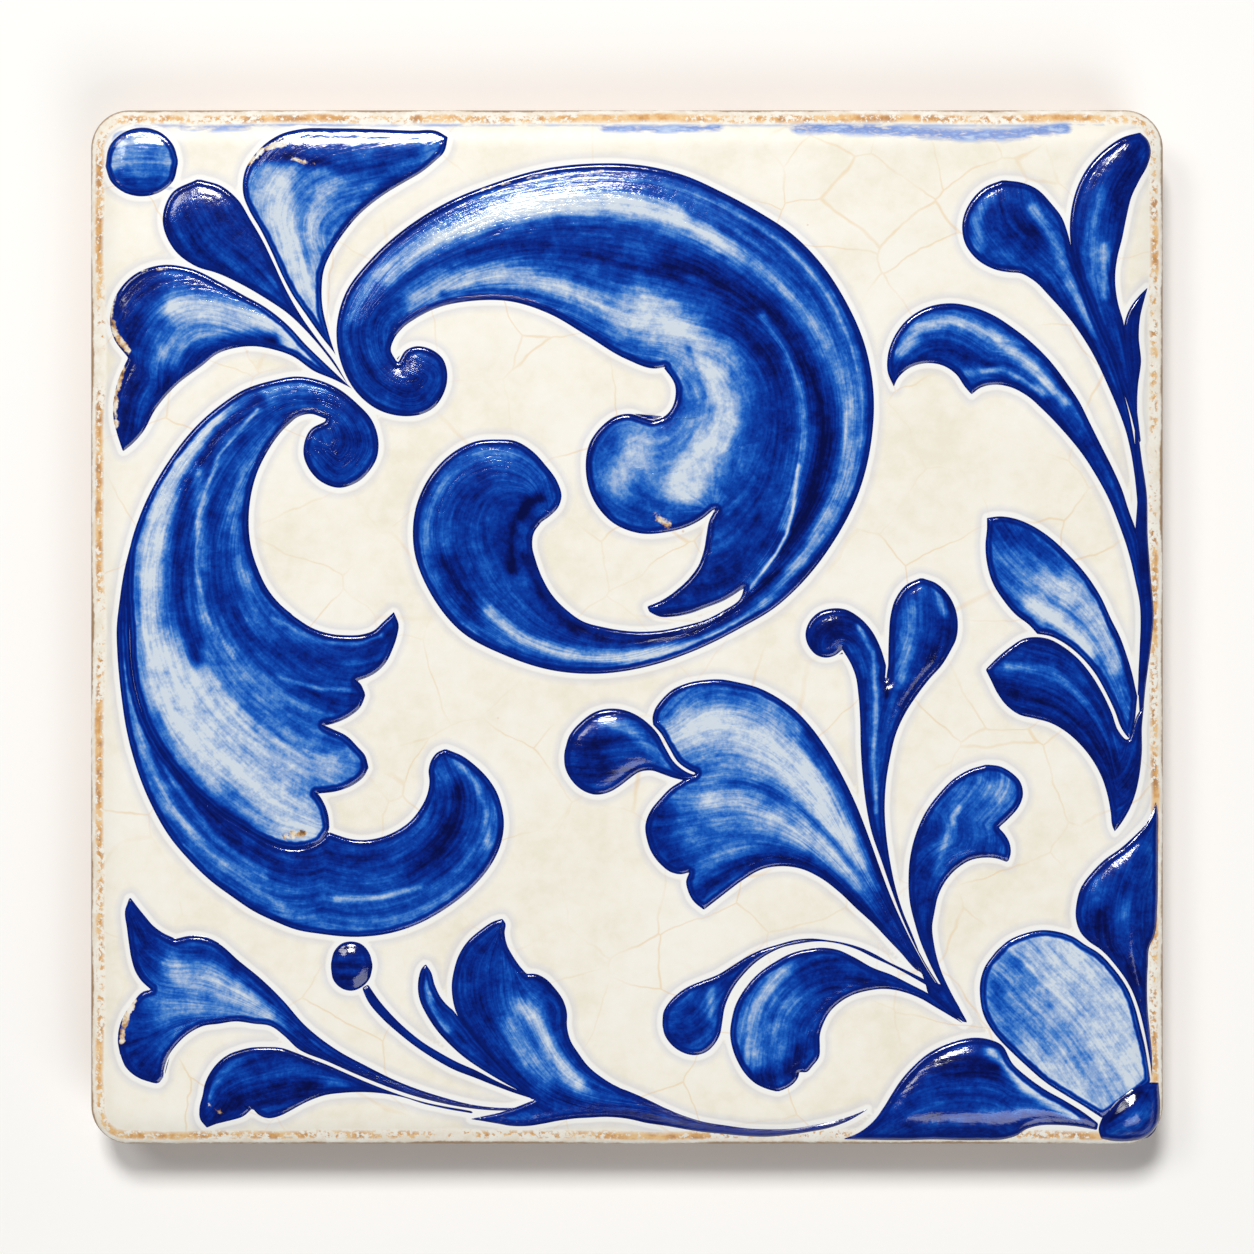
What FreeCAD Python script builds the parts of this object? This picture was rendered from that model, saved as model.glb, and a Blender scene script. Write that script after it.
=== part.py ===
"""Hand-made azulejo wall tile: one slab of fired clay with a tin glaze face.

The slab lies on its plain back. Its sides lean in towards the back, as the maker's knife leaves
them, so that two tiles meet at a narrow upright land near the face and the mortar keys in the
wedge below it. From the top of the land the glazed face rolls inwards over the rim in two
tangent arcs, a tight one at the rim and a wide one that runs out level with the face.

Frame: millimetres, +Z out of the glazed face, origin at the middle of the back.
"""

import FreeCAD, Part
import math
import os
import sys

import Sketcher

DIMENSIONS = [
    ("TileWidth", "140", "along X, the longer edge"),
    ("TileDepth", "135", "along Y"),
    ("TileThickness", "12", "back to the level of the face"),
    ("CornerRadius", "5", "upright corners, and the width of the roll of the face"),
    ("RollHeight", "2.2", "how far the rim is below the face"),
    ("RimRadius", "1.2", "the tight arc at the rim"),
    ("LandHeight", "1.8", "upright strip where neighbouring tiles meet"),
    ("Undercut", "1.3", "how far the side leans in from the land to the back"),
    ("BackArris", "0.7", "the rubbed edge round the back"),
]


def make_dimensions(doc):
    """The spreadsheet of driving dimensions, one aliased cell for each."""
    sheet = doc.addObject("Spreadsheet::Sheet", "Dimensions")
    for row, (alias, value, note) in enumerate(DIMENSIONS, start=1):
        sheet.set(f"A{row}", alias)
        sheet.set(f"B{row}", value)
        sheet.set(f"C{row}", note)
        sheet.setAlias(f"B{row}", alias)
    doc.recompute()
    return sheet


def origin_plane(body, role):
    """One of the body's own base planes, such as XY_Plane."""
    return next(f for f in body.Origin.OriginFeatures if f.Role == role)


def add_sketch(body, name, role):
    """An empty sketch that lies on one of the body's base planes."""
    sketch = body.newObject("Sketcher::SketchObject", name)
    sketch.AttachmentSupport = [(origin_plane(body, role), "")]
    sketch.MapMode = "FlatFace"
    return sketch


def bind(sketch, constraint, expression):
    """Adds a dimension to a sketch and ties it to the spreadsheet."""
    index = sketch.addConstraint(constraint)
    sketch.setExpression(f"Constraints[{index}]", expression)


def draw_core_outline(body, sheet):
    """The rectangle that is left inside the roll, drawn from a point halfway along its right side."""
    half_x = sheet.TileWidth / 2 - sheet.CornerRadius
    half_y = sheet.TileDepth / 2 - sheet.CornerRadius
    corners = [
        (half_x, 0),
        (half_x, half_y),
        (-half_x, half_y),
        (-half_x, -half_y),
        (half_x, -half_y),
    ]
    sketch = add_sketch(body, "CoreOutline", "XY_Plane")
    count = len(corners)
    for i, (x, y) in enumerate(corners):
        next_x, next_y = corners[(i + 1) % count]
        line = Part.LineSegment(FreeCAD.Vector(x, y, 0), FreeCAD.Vector(next_x, next_y, 0))
        sketch.addGeometry(line, False)
    for i in range(count):
        sketch.addConstraint(Sketcher.Constraint("Coincident", i, 2, (i + 1) % count, 1))
    for upright in (0, 2, 4):
        sketch.addConstraint(Sketcher.Constraint("Vertical", upright))
    for level in (1, 3):
        sketch.addConstraint(Sketcher.Constraint("Horizontal", level))
    sketch.addConstraint(Sketcher.Constraint("PointOnObject", 0, 1, -1))
    bind(
        sketch,
        Sketcher.Constraint("DistanceX", -1, 1, 0, 1, half_x),
        "Dimensions.TileWidth / 2 - Dimensions.CornerRadius",
    )
    bind(
        sketch,
        Sketcher.Constraint("DistanceY", -1, 1, 0, 2, half_y),
        "Dimensions.TileDepth / 2 - Dimensions.CornerRadius",
    )
    bind(
        sketch,
        Sketcher.Constraint("DistanceX", 2, 1, 1, 1, 2 * half_x),
        "Dimensions.TileWidth - 2 * Dimensions.CornerRadius",
    )
    bind(
        sketch,
        Sketcher.Constraint("DistanceY", 2, 2, 2, 1, 2 * half_y),
        "Dimensions.TileDepth - 2 * Dimensions.CornerRadius",
    )
    return sketch


def draw_edge_section(body, sheet):
    """The tile's edge cut through at the middle of its right side, from the core outwards."""
    core = sheet.TileWidth / 2 - sheet.CornerRadius
    rim = sheet.TileWidth / 2
    top = sheet.TileThickness
    land_top = top - sheet.RollHeight
    land_foot = land_top - sheet.LandHeight
    rim_radius = sheet.RimRadius
    run = sheet.CornerRadius - rim_radius
    rise = sheet.RollHeight
    # The wide arc meets the face level, and the tight arc inside it.
    face_radius = (run**2 + rise**2 - rim_radius**2) / (2 * (rise - rim_radius))
    lean = math.atan2(face_radius - rise, run)
    rim_centre = FreeCAD.Vector(rim - rim_radius, land_top, 0)
    face_centre = FreeCAD.Vector(core, top - face_radius, 0)
    join = rim_centre + FreeCAD.Vector(math.cos(lean), math.sin(lean), 0) * rim_radius
    back_foot = rim - sheet.Undercut - sheet.BackArris
    outline = [
        FreeCAD.Vector(core, top, 0),
        FreeCAD.Vector(core, 0, 0),
        FreeCAD.Vector(back_foot, 0, 0),
        FreeCAD.Vector(rim - sheet.Undercut, sheet.BackArris, 0),
        FreeCAD.Vector(rim, land_foot, 0),
        FreeCAD.Vector(rim, land_top, 0),
    ]
    sketch = add_sketch(body, "EdgeSection", "XZ_Plane")
    for start, end in zip(outline, outline[1:]):
        sketch.addGeometry(Part.LineSegment(start, end), False)
    up = FreeCAD.Vector(0, 0, 1)
    rim_circle = Part.Circle(rim_centre, up, rim_radius)
    rim_arc = sketch.addGeometry(Part.ArcOfCircle(rim_circle, 0, lean), False)
    face_circle = Part.Circle(face_centre, up, face_radius)
    face_arc = sketch.addGeometry(Part.ArcOfCircle(face_circle, lean, math.pi / 2), False)
    core_wall, back, arris, side, land = range(5)
    for first, second in zip(range(4), range(1, 5)):
        sketch.addConstraint(Sketcher.Constraint("Coincident", first, 2, second, 1))
    sketch.addConstraint(Sketcher.Constraint("Vertical", core_wall))
    sketch.addConstraint(Sketcher.Constraint("Horizontal", back))
    sketch.addConstraint(Sketcher.Constraint("Vertical", land))
    sketch.addConstraint(Sketcher.Constraint("PointOnObject", back, 1, -1))
    sketch.addConstraint(Sketcher.Constraint("Tangent", land, 2, rim_arc, 1))
    sketch.addConstraint(Sketcher.Constraint("Tangent", rim_arc, 2, face_arc, 1))
    sketch.addConstraint(Sketcher.Constraint("Coincident", face_arc, 2, core_wall, 1))
    sketch.addConstraint(Sketcher.Constraint("PointOnObject", face_arc, 3, core_wall))
    sized = [
        (("DistanceX", -1, 1, land, 1, rim), "Dimensions.TileWidth / 2"),
        (("DistanceX", core_wall, 2, land, 1, rim - core), "Dimensions.CornerRadius"),
        (("DistanceY", -1, 1, core_wall, 1, top), "Dimensions.TileThickness"),
        (("DistanceY", land, 2, core_wall, 1, rise), "Dimensions.RollHeight"),
        (("DistanceY", land, 1, land, 2, sheet.LandHeight), "Dimensions.LandHeight"),
        (("DistanceX", arris, 2, land, 1, sheet.Undercut), "Dimensions.Undercut"),
        (("DistanceX", arris, 1, arris, 2, sheet.BackArris), "Dimensions.BackArris"),
        (("DistanceY", arris, 1, arris, 2, sheet.BackArris), "Dimensions.BackArris"),
        (("Radius", rim_arc, rim_radius), "Dimensions.RimRadius"),
    ]
    for constraint, expression in sized:
        bind(sketch, Sketcher.Constraint(*constraint), expression)
    return sketch


def make_tile(doc, sheet):
    """The slab: a core block, and the edge section carried round it with rounded corners."""
    body = doc.addObject("PartDesign::Body", "Tile")
    body.Label = "tile"
    outline = draw_core_outline(body, sheet)
    doc.recompute()
    core = body.newObject("PartDesign::Pad", "Core")
    core.Profile = outline
    core.setExpression("Length", "Dimensions.TileThickness")
    doc.recompute()
    section = draw_edge_section(body, sheet)
    doc.recompute()
    edge = body.newObject("PartDesign::AdditivePipe", "RolledEdge")
    edge.Profile = section
    edge.Spine = (outline, [])
    edge.Transition = "Round corner"
    doc.recompute()
    body.Tip = edge
    body.Placement = FreeCAD.Placement()
    doc.recompute()
    return body


def stop_if_failed(doc, parts):
    """Stops with a message if an object failed or a part isn't one closed, valid solid."""
    for thing in doc.Objects:
        if "Invalid" in thing.State or "Error" in thing.State:
            sys.exit(f"{thing.Name} failed: {thing.State}")
    for part in parts:
        shape = part.Shape
        if shape.isNull() or not shape.isValid() or len(shape.Solids) != 1:
            sys.exit(f"{part.Label} isn't one valid solid")


def main():
    doc = FreeCAD.newDocument("AzulejoTile")
    sheet = make_dimensions(doc)
    tile = make_tile(doc, sheet)
    parts = [tile]
    stop_if_failed(doc, parts)
    os.makedirs("parts", exist_ok=True)
    for part in parts:
        part.Shape.exportStep(f"parts/{part.Label}.step")
        size = part.Shape.BoundBox
        print(
            f"{part.Label}: {size.XLength:.2f} x {size.YLength:.2f} x {size.ZLength:.2f} mm, "
            f"{part.Shape.Volume / 1000:.2f} cm3, {len(part.Shape.Faces)} faces"
        )


main()
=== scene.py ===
"""Renders the hand-made azulejo tile: a cream tin glaze with a cobalt scroll-and-leaf quarter pattern.

The CAD slab is drawn again as one closed surface with its rolled rim, and each stroke of the
ornament is a thin closed pad of glaze that stands 0.2 to 1 mm proud of the face. Lengths are
millimetres in the tile's own frame, seen from above with +Y up, and MM turns them to metres.
"""

import math

import bpy
import numpy as np
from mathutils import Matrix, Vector


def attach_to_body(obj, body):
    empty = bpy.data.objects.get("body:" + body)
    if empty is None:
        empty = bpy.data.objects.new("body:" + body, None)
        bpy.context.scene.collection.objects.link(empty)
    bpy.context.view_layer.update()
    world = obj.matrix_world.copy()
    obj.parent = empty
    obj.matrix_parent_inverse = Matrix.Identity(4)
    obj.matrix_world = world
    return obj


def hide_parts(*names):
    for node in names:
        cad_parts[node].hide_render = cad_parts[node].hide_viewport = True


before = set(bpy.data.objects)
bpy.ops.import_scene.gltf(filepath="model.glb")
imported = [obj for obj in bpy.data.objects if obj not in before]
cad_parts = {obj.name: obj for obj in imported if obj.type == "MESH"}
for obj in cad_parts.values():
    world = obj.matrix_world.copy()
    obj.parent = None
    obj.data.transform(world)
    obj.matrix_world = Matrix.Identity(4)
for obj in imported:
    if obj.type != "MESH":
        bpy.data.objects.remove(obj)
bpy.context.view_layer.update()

MM = 0.001
# The slab, as its solid has it: its plan, its levels above the back and the radii of its rolled rim.
HALF_WIDTH = 70.0
HALF_DEPTH = 67.5
FACE_LEVEL = 12.0
CORNER_RADIUS = 5.0
RIM_RADIUS = 1.2
RIM_LEVEL = 9.8
LAND_FOOT = 8.0
UNDERCUT = 1.3
BACK_ARRIS = 0.7
# The wide arc of the rolled rim starts level with the face and ends on the tight rim arc.
ROLL_RADIUS = 8.92
ROLL_JOIN = 0.61
# The middle of the rubbed arris: how far in from the foot of the side, and its level.
ARRIS_MIDDLE = (0.25, 0.2)
# Vertices across and up the flat face, steps round a corner and down each part of the edge, and the
# shares to which the back's rings shrink towards its middle.
FACE_COLUMNS = 261
FACE_ROWS = 251
CORNER_STEPS = 14
ROLL_STEPS = 12
TIGHT_STEPS = 5
SIDE_STEPS = 4
BACK_SHARES = (0.8, 0.4)
# How far below the rim's level the glaze is still marked, how far from the paint, and what stands
# for further than that.
RIM_BELOW = 0.2
HALO_REACH = 5.0
HALO_NONE = 6.0

# The pads: steps of their grids, with even fine steps in a band along each side, the depth to which
# the wall goes into the face, and how much higher each further pad of a group lies.
LINE_STEPS = 10
PAD_PITCH = 0.36
BORDER_STEPS = 9
BORDER_STEP = 0.12
BORDER_BANDS = 2.2
WALL_DEPTH = 0.4
LAP = 0.012
OVERLAP = 0.03
# The relief of a pad: the bead at its outline, the dip behind that, and how far all of it is sunk.
BEAD_HEIGHT = 0.22
BEAD_WIDTH = 0.28
DIP_DEPTH = 0.025
DIP_PLACE = 1.05
DIP_WIDTH = 0.3
SUNK = 0.03
PLAIN_DOME = (0.22, 2.6)
# The brush's path: how far one guide line counts from the next, how far the outermost one reaches,
# and how far apart two pads without guides take their streaks from the pattern.
GUIDE_WIDTH = 4.5
GUIDE_REACH = 6
GRAIN_STEP = 13.7
# Distances are worked out for this many points at a time, to save memory.
BATCH = 2000

# The ornament, stroke by stroke: group, name, one side, the other side, and listed chords that
# say which point of one side faces which point of the other. A side is x, y, x, y and a point
# given twice is a sharp corner. Pads of one group fuse into one shape with one outline.
MOTIFS = [
    # The palmette in the upper left corner.
    (
        "palmette_drop", "drop",
        [-36.5, 31.6, -38.9, 35, -41.5, 38.1, -44.2, 40.7, -47, 42.6, -49.9, 44.3, -53.3, 45.9,
         -56.1, 46.8, -58.8, 48.8, -60.5, 53.1, -59.2, 56.6, -56, 58.3],
        [-36, 31.2, -37.9, 34.5, -40.1, 37.4, -42.3, 40.5, -44.2, 43.8, -45.8, 47.2, -47.3, 50.3,
         -49, 53.2, -50.4, 55.5, -52.8, 57.5, -55.4, 58.3],
        [-47, 42.6, -44.2, 43.8, -53.3, 45.9, -47.3, 50.3, -60.5, 53.1, -51.2, 56.4],
    ),
    (
        "palmette_upper", "leaf",
        [-36.1, 31.7, -37.9, 35.2, -39.9, 37.8, -41.8, 40.5, -43.7, 43.3, -45.1, 46, -46.4, 48.9,
         -47.8, 51.7, -49.2, 54.1, -50, 56.2, -49.7, 59.6, -48.5, 61.5, -47, 63, -45.1, 64.2, -42.5, 64.9,
         -38, 65, -33, 64.9, -28, 64.7, -24.6, 64.6, -23.4, 63.9],
        [-35.7, 31.4, -37.2, 34, -38.2, 36.6, -38.9, 39, -39.5, 41.7, -39.6, 44.1, -39.3, 46.5,
         -38.4, 48.6, -36.5, 51.5, -34.9, 53.4, -33.1, 55, -31, 56.5, -28.8, 57.8, -26.6, 59.1,
         -24.9, 60.5, -23.7, 61.7, -23.2, 63.6],
        [-41.8, 40.5, -39.5, 41.7, -46.4, 48.9, -39.2, 46.6, -49.7, 59.6, -37.4, 50.3, -42.5, 64.9,
         -34.9, 53.4, -33, 64.9, -30.2, 57],
    ),
    (
        "palmette_left", "leaf",
        [-35.6, 31, -38.9, 34.1, -41.5, 36.6, -44.2, 39.5, -47, 41.7, -49.9, 43.3, -52.8, 44.9,
         -56.6, 46.7, -60.4, 47.2, -64, 46, -66.6, 43.1, -67.4, 40.3, -66.8, 37.4, -65, 35, -65, 35,
         -66.4, 31.8, -66.9, 27, -66.4, 25, -65.7, 22.9],
        [-35.2, 30.6, -38.4, 32.2, -40.6, 33.1, -43.7, 35.2, -46.1, 36, -48.5, 36.4, -50.9, 36.2,
         -53.3, 35.4, -55.2, 33.9, -58.5, 31.4, -61.2, 28.3, -63, 25.1, -64.4, 23.6, -65.4, 22.8],
        [-47, 41.7, -46.1, 36, -56.6, 46.7, -51.5, 36.1, -66.6, 43.1, -55.2, 33.9, -65, 35, -60, 29.9,
         -66.9, 27, -62.6, 25.7],
    ),
    # The leafy scroll along the left edge, with its lobes and its tail.
    (
        "left_leaf", "scroll",
        [-39.4, 26.8, -41.2, 25.8, -42.2, 22.6, -40, 18.9, -37.6, 18, -34.8, 18.9, -33.3, 20.4,
         -32.4, 22.1, -32.2, 23.8, -33, 26.8, -35.2, 29.3, -37.5, 31.1, -40, 32.2, -43, 32.7, -46, 32.2,
         -50, 30.9, -52.9, 29, -55.3, 27, -59.6, 21.8, -63.3, 14.9, -64.9, 9.5, -65, 3.5, -64.8, 0,
         -64.6, -4.4, -64, -8.2, -61.8, -14.3, -58.1, -19.5, -53.3, -24, -48.4, -27, -46, -28.3,
         -43.5, -28.9],
        [-39.3, 27, -41.2, 27.6, -42.6, 27.3, -44, 26.2, -45.3, 24.8, -46.7, 22.7, -47.9, 20.3,
         -48.7, 17.6, -49.1, 13.8, -48.8, 10.5, -47.9, 7.6, -46.5, 4.8, -45.1, 3.1, -43.6, 1.8, -43.6, 1.8,
         -44.3, -2, -44.4, -8, -44.4, -14, -44, -20, -42.8, -25, -42.9, -28],
        [-37.5, 31.1, -39.5, 27.1, -46, 32.2, -42.6, 27.3, -55.3, 27, -46.7, 22.7, -63.3, 14.9,
         -49.1, 13.8, -64.8, 0, -43.6, 1.8, -61.8, -14.3, -44.4, -11, -53.3, -24, -44, -20],
    ),
    (
        "left_leaf", "lobe_1",
        [-47.4, 3.6, -45.4, 2.9, -44, 2, -42.6, 1, -41, 0, -38.6, -0.8, -36.5, -1, -34.5, -0.9, -33, -0.4,
         -31.9, 0.6, -30.4, 2],
        [-47, -8, -41, -7.3, -35.2, -7.1, -32.5, -5.9, -31.3, -4.7, -30.4, -2.9, -29.8, -1.1, -29.6, 0.2,
         -30.2, 1.9],
        [-38.6, -0.8, -37, -7.1, -33, -0.4, -31.3, -4.7],
    ),
    (
        "left_leaf", "lobe_2",
        [-47, -5, -41, -6.4, -35.2, -6.9, -34.6, -7.4, -34.1, -8.4],
        [-47, -13.5, -42, -13.2, -39.6, -12.9, -37.9, -12.5, -36, -11.6, -34.6, -10.4, -34, -9],
        [-37, -6.8, -38, -12.5],
    ),
    (
        "left_leaf", "lobe_3",
        [-47, -11, -42, -12.2, -39.6, -12.7, -38.2, -13.3, -36.4, -14.2, -35.1, -15.5, -34, -16.8,
         -33.7, -17.8],
        [-47, -22, -42, -21.9, -40.4, -21.7, -37.5, -21.3, -35.7, -20.6, -34.2, -19.4, -33.6, -18.3],
        [-39.6, -12.7, -40.4, -21.7],
    ),
    (
        "left_leaf", "lobe_4",
        [-47, -20, -42, -20.9, -40.4, -21.5, -39.4, -22.9, -38.8, -24.7, -38.7, -26],
        [-50, -26.2, -46, -28.3, -43.5, -28.9, -41.4, -28.6, -39.9, -28, -38.8, -26.5],
        [-42, -20.9, -43.5, -28.9],
    ),
    (
        "left_tail", "band",
        [-63.7, 13.6, -64.8, 10.2, -65.6, 6.8, -66.1, 3.5, -66.5, -0.3, -66.4, -3.6, -66, -8, -64.6, -16,
         -61.8, -23.5, -59.6, -27.3, -57, -30.4, -54.2, -33.1, -51.5, -35.1, -48.5, -37.1, -46, -38.3,
         -42.9, -39.5, -40, -40, -35, -40.4, -30.7, -39.9, -27.8, -39, -23.5, -36.7, -19.5, -33.4,
         -17.8, -31.3, -16.7, -29.3, -16.1, -27.4, -15.9, -25.3, -16.2, -23.3, -16.9, -21.3, -18.1, -19.5,
         -19.7, -17.9, -21.3, -16.7, -23.4, -15.8],
        [-63.4, 13.2, -64.2, 9.8, -64.6, 6.8, -64.7, 3.5, -64.6, 0, -64.4, -4.4, -63.8, -8.2, -61.6, -14.2,
         -57.9, -19.3, -53.1, -23.8, -48.3, -26.8, -46, -28.1, -43.5, -28.7, -41.4, -28.4, -40, -27.7,
         -38.9, -26.5, -38.9, -26.5, -37.5, -27, -36.2, -27.4, -34.5, -27.6, -31.9, -27.2, -30, -26.4,
         -28.3, -25.2, -27, -23.6, -26.1, -21.8, -25.8, -20.2, -25.9, -18.6, -25.4, -17, -24.7, -16.2,
         -23.8, -15.8],
        [-66, -8, -63.8, -8.2, -59.6, -27.3, -55.5, -21.7, -48.5, -37.1, -46, -28.1, -40, -40,
         -38.9, -26.5, -30.7, -39.9, -33, -27.5, -19.5, -33.4, -28.3, -25.2, -15.9, -25.3, -26.1, -21.8],
    ),
    # The great scroll: the arch, the pale curl and the dark curl under it.
    (
        "big_scroll", "band",
        [-29.8, 34.6, -28.8, 36.1, -27.6, 36.6, -25.4, 36.2, -23.9, 35, -23.3, 33.3, -23.3, 31.9,
         -23.9, 30, -25, 28.5, -26.6, 27.6, -28.5, 27.3, -30.5, 27.5, -32.5, 28.2, -34, 29.2, -35.3, 30.5,
         -37.2, 34, -37.9, 38.6, -36.8, 43.3, -33.4, 47.9, -28.8, 52, -23.5, 55.3, -17.4, 57.8,
         -11.3, 59.6, -4.1, 60.4, 2.3, 60.1, 7.6, 58.8, 12.5, 56.6, 17.3, 54, 21.4, 51.3, 25.1, 47.6,
         28.5, 42.5, 31.1, 36.5, 32.2, 30, 32, 25, 30.3, 17.6, 27, 11.1, 22, 4.8, 19.4, 2.5, 14.9, -0.2,
         8.8, -3.2, 2.9, -5.2, -4.1, -6.2, -10, -5.7, -15.9, -3.8, -21.5, -0.8, -25.7, 4.4, -27.8, 10,
         -27.5, 15.8, -26.3, 18.7, -24.3, 21.4, -21.9, 23.3, -19.5, 24.3, -16.9, 24.5, -14.5, 24.3,
         -12.4, 23.1, -10.5, 21.1, -9, 19, -8.4, 17, -8.8, 15.6, -9.9, 14.4, -11, 13.6],
        [-30, 34.8, -30.6, 36, -30.2, 37.4, -29, 38.9, -27.3, 40.1, -24.9, 41.3, -20.1, 42.3, -15, 42.2,
         -10.1, 40.6, -5.3, 37.8, -0.1, 34.7, 3.5, 33.5, 7, 34.4, 12, 35.6, 17, 33.5, 19.6, 29, 20.6, 24,
         20, 18, 17.8, 11.5, 15.4, 6.6, 14.5, 3.6, 12.6, 2.3, 10, 1, 7.5, 0.3, 4.7, -0.3, 2, -0.5,
         -3.1, 0.1, -5.6, 0.8, -7.9, 2.4, -9.7, 4.3, -11, 6.6, -11.8, 8.8, -12.2, 10.5, -12, 12.2,
         -11.2, 13.4],
        [-37.2, 34, -30.1, 35, -37.9, 38.6, -30.2, 37.4, -33.4, 47.9, -27.3, 40.1, -17.4, 57.8, -15, 42.2,
         2.3, 60.1, 1.5, 33.9, 17.3, 54, 12, 35.6, 32.2, 30, 20.6, 24, 22, 4.8, 15.4, 6.6, 2.9, -5.2,
         2, -0.5, -10, -5.7, -7.9, 2.4, -27.8, 10, -11.8, 8.8, -21.9, 23.3, -12, 12.2],
    ),
    (
        "big_scroll", "pale_curl",
        [0.5, 37, 3.5, 34.8, 5, 33.3, 6.2, 31.3, 6.2, 29.8, 5.7, 28.4, 5, 27.6, 3.3, 26.9, 3.3, 26.9,
         2, 27.3, 0.5, 27.8, -1.7, 27.4, -3.3, 26.2, -4.8, 24.2, -5.4, 20, -4.2, 16.1, -1.6, 13.3,
         1.6, 12.1, 5.5, 12.3, 8, 13, 10, 14.1, 11.2, 15.1],
        [8, 45, 14, 37.5, 17.6, 32.2, 18.2, 27.5, 17.8, 24.9, 16.9, 22.4, 15.8, 19.9, 14.5, 18, 12.8, 16.1,
         11.5, 15.2],
        [6.2, 31.3, 17.8, 31.5, 3.3, 26.9, 18.2, 27.5, -3.3, 26.2, 17.5, 24, -5.4, 20, 16.3, 20.8,
         1.6, 12.1, 13.6, 17],
    ),
    (
        "big_scroll", "dark_curl",
        [4.5, 46.5, 9, 43, 14, 37.5, 17.2, 32.2, 17.8, 27.5, 17, 23.4, 14.2, 18.4, 11.3, 15.1, 11.3, 15.1,
         10.7, 13.9, 10.3, 11.9, 10, 10.1, 9.2, 7.9, 8.1, 6.4, 6.5, 4.9, 5, 3.8, 2.6, 2.7],
        [6, 49, 12, 46, 17, 42, 20.5, 37, 22.4, 31, 22.8, 25, 22.5, 20, 21.6, 15, 19.2, 9, 17.1, 6.4,
         15, 4.9, 12.6, 3.4, 10.3, 2.5, 8.1, 1.7, 6, 1.3, 4.2, 1.3, 2.9, 1.9],
        [14, 37.5, 20.5, 37, 17.8, 27.5, 22.8, 25, 11.3, 15.1, 21.6, 15, 10, 10.1, 17.1, 6.4, 6.5, 4.9,
         8.1, 1.7],
    ),
    # The sprays along the right edge.
    (
        "upper_drop", "drop",
        [66.3, 9, 66.4, 12.9, 66, 19, 64.9, 25, 62.6, 31, 59.9, 36.5, 57.4, 40.1, 55, 42.8, 52.8, 45,
         51.1, 45.9, 49.9, 46, 47.8, 46.4, 45.6, 47.6, 43.9, 49.8, 43.5, 52.5, 44.6, 55.4, 46.5, 57.3,
         48.7, 58.2],
        [66.9, 9, 67, 13, 66.7, 19, 65.9, 25.5, 64.5, 31.3, 63.1, 35.5, 61.6, 38.9, 60.4, 42, 59.2, 45.2,
         58.2, 48.1, 57.4, 51.3, 56.7, 53.2, 55.3, 55.1, 53.3, 57.1, 51.4, 57.9, 49.3, 58.2],
        [62.6, 31, 64.5, 31.3, 57.4, 40.1, 60.9, 40.7, 51.1, 45.9, 58.2, 48.1, 45.6, 47.6, 56.5, 53.5],
    ),
    (
        "blade_leaf", "leaf",
        [66.3, 24, 65.3, 28, 64.2, 31.3, 62.8, 35.5, 61.3, 38.9, 60.1, 42, 58.9, 45.2, 57.9, 48.1,
         57.5, 51, 57.9, 55.4, 58.7, 57.8, 60.1, 60.2, 62.3, 62.4, 64.7, 63.9, 66.5, 64.4],
        [67, 24, 66.5, 28, 66, 32, 65.3, 36, 64.6, 40, 64, 42, 63.6, 45.7, 63.9, 48.1, 64.5, 50.5, 65, 53,
         65.7, 55.9, 66.7, 58, 67.9, 60.2, 68.3, 62.2, 67.9, 63.4, 66.9, 64.4],
        [61.3, 38.9, 64.6, 40, 57.9, 48.1, 63.9, 48.1, 58.7, 57.8, 65.7, 55.9],
    ),
    (
        "right_stem", "stem",
        [66.6, -12, 66.4, -7, 66.6, -2.5, 66.7, 2, 66.2, 6, 66, 12, 66.3, 17, 66, 23, 65.8, 28, 65.1, 33,
         64.5, 37, 64.7, 40, 65.2, 41.3, 66.4, 43, 67.7, 44.3],
        [67.2, -12, 67.6, -7.8, 68.4, -2, 68.7, 1, 68.3, 6.7, 67.9, 11.9, 67.8, 17, 67, 22.5, 66.6, 26,
         66.6, 31.5, 67, 34.5, 66.7, 37.9, 66.9, 40.4, 67.5, 42.8, 67.9, 44.2],
        [66.7, 2, 68.7, 1, 66, 23, 67, 22.5, 64.7, 40, 66.9, 39.5],
    ),
    (
        "scallop_leaf", "leaf",
        [66.3, -9, 66.6, -2.5, 66.7, 0, 66.6, 3, 66, 6, 65.2, 9.4, 64, 13, 62.6, 16.5, 61, 19.5, 59, 22.6,
         56.5, 25.6, 54, 28.2, 52.1, 29.9, 49.8, 31.1, 47.9, 31.4, 46, 31, 44.8, 30.1, 44.8, 30.1,
         43.9, 31.1, 42.7, 32.8, 41, 33.9, 39, 34.2, 36.8, 33.6, 35.2, 32.1, 34.8, 31.2],
        [67, -9, 67.2, -2.5, 67.3, 1, 67.2, 6, 66.7, 11.5, 66.2, 13, 65.4, 15.1, 64.5, 17.9, 63.4, 20.4,
         61.8, 23.6, 60.3, 26.6, 58.9, 29.4, 57.3, 31.8, 55, 34.8, 52.8, 37, 50.4, 38.9, 47.8, 40.6,
         45.1, 41.7, 42.4, 42.2, 38.8, 41.6, 36.4, 40.1, 34.7, 37.9, 33.8, 35.3, 33.8, 33.1, 34.6, 31.2],
        [66, 6, 67.2, 6, 62.6, 16.5, 64.5, 17.9, 54, 28.2, 57.3, 31.8, 44.8, 30.1, 49, 39.8, 41, 33.9,
         40, 42, 36.8, 33.6, 34.7, 37.9],
    ),
    (
        "double_upper", "leaf",
        [66.5, -9, 66.3, -8.2, 65.8, -6, 65.2, -4, 64.2, -1.2, 63.1, 1, 61.7, 4, 59.8, 6.9, 57.5, 9.5,
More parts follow.
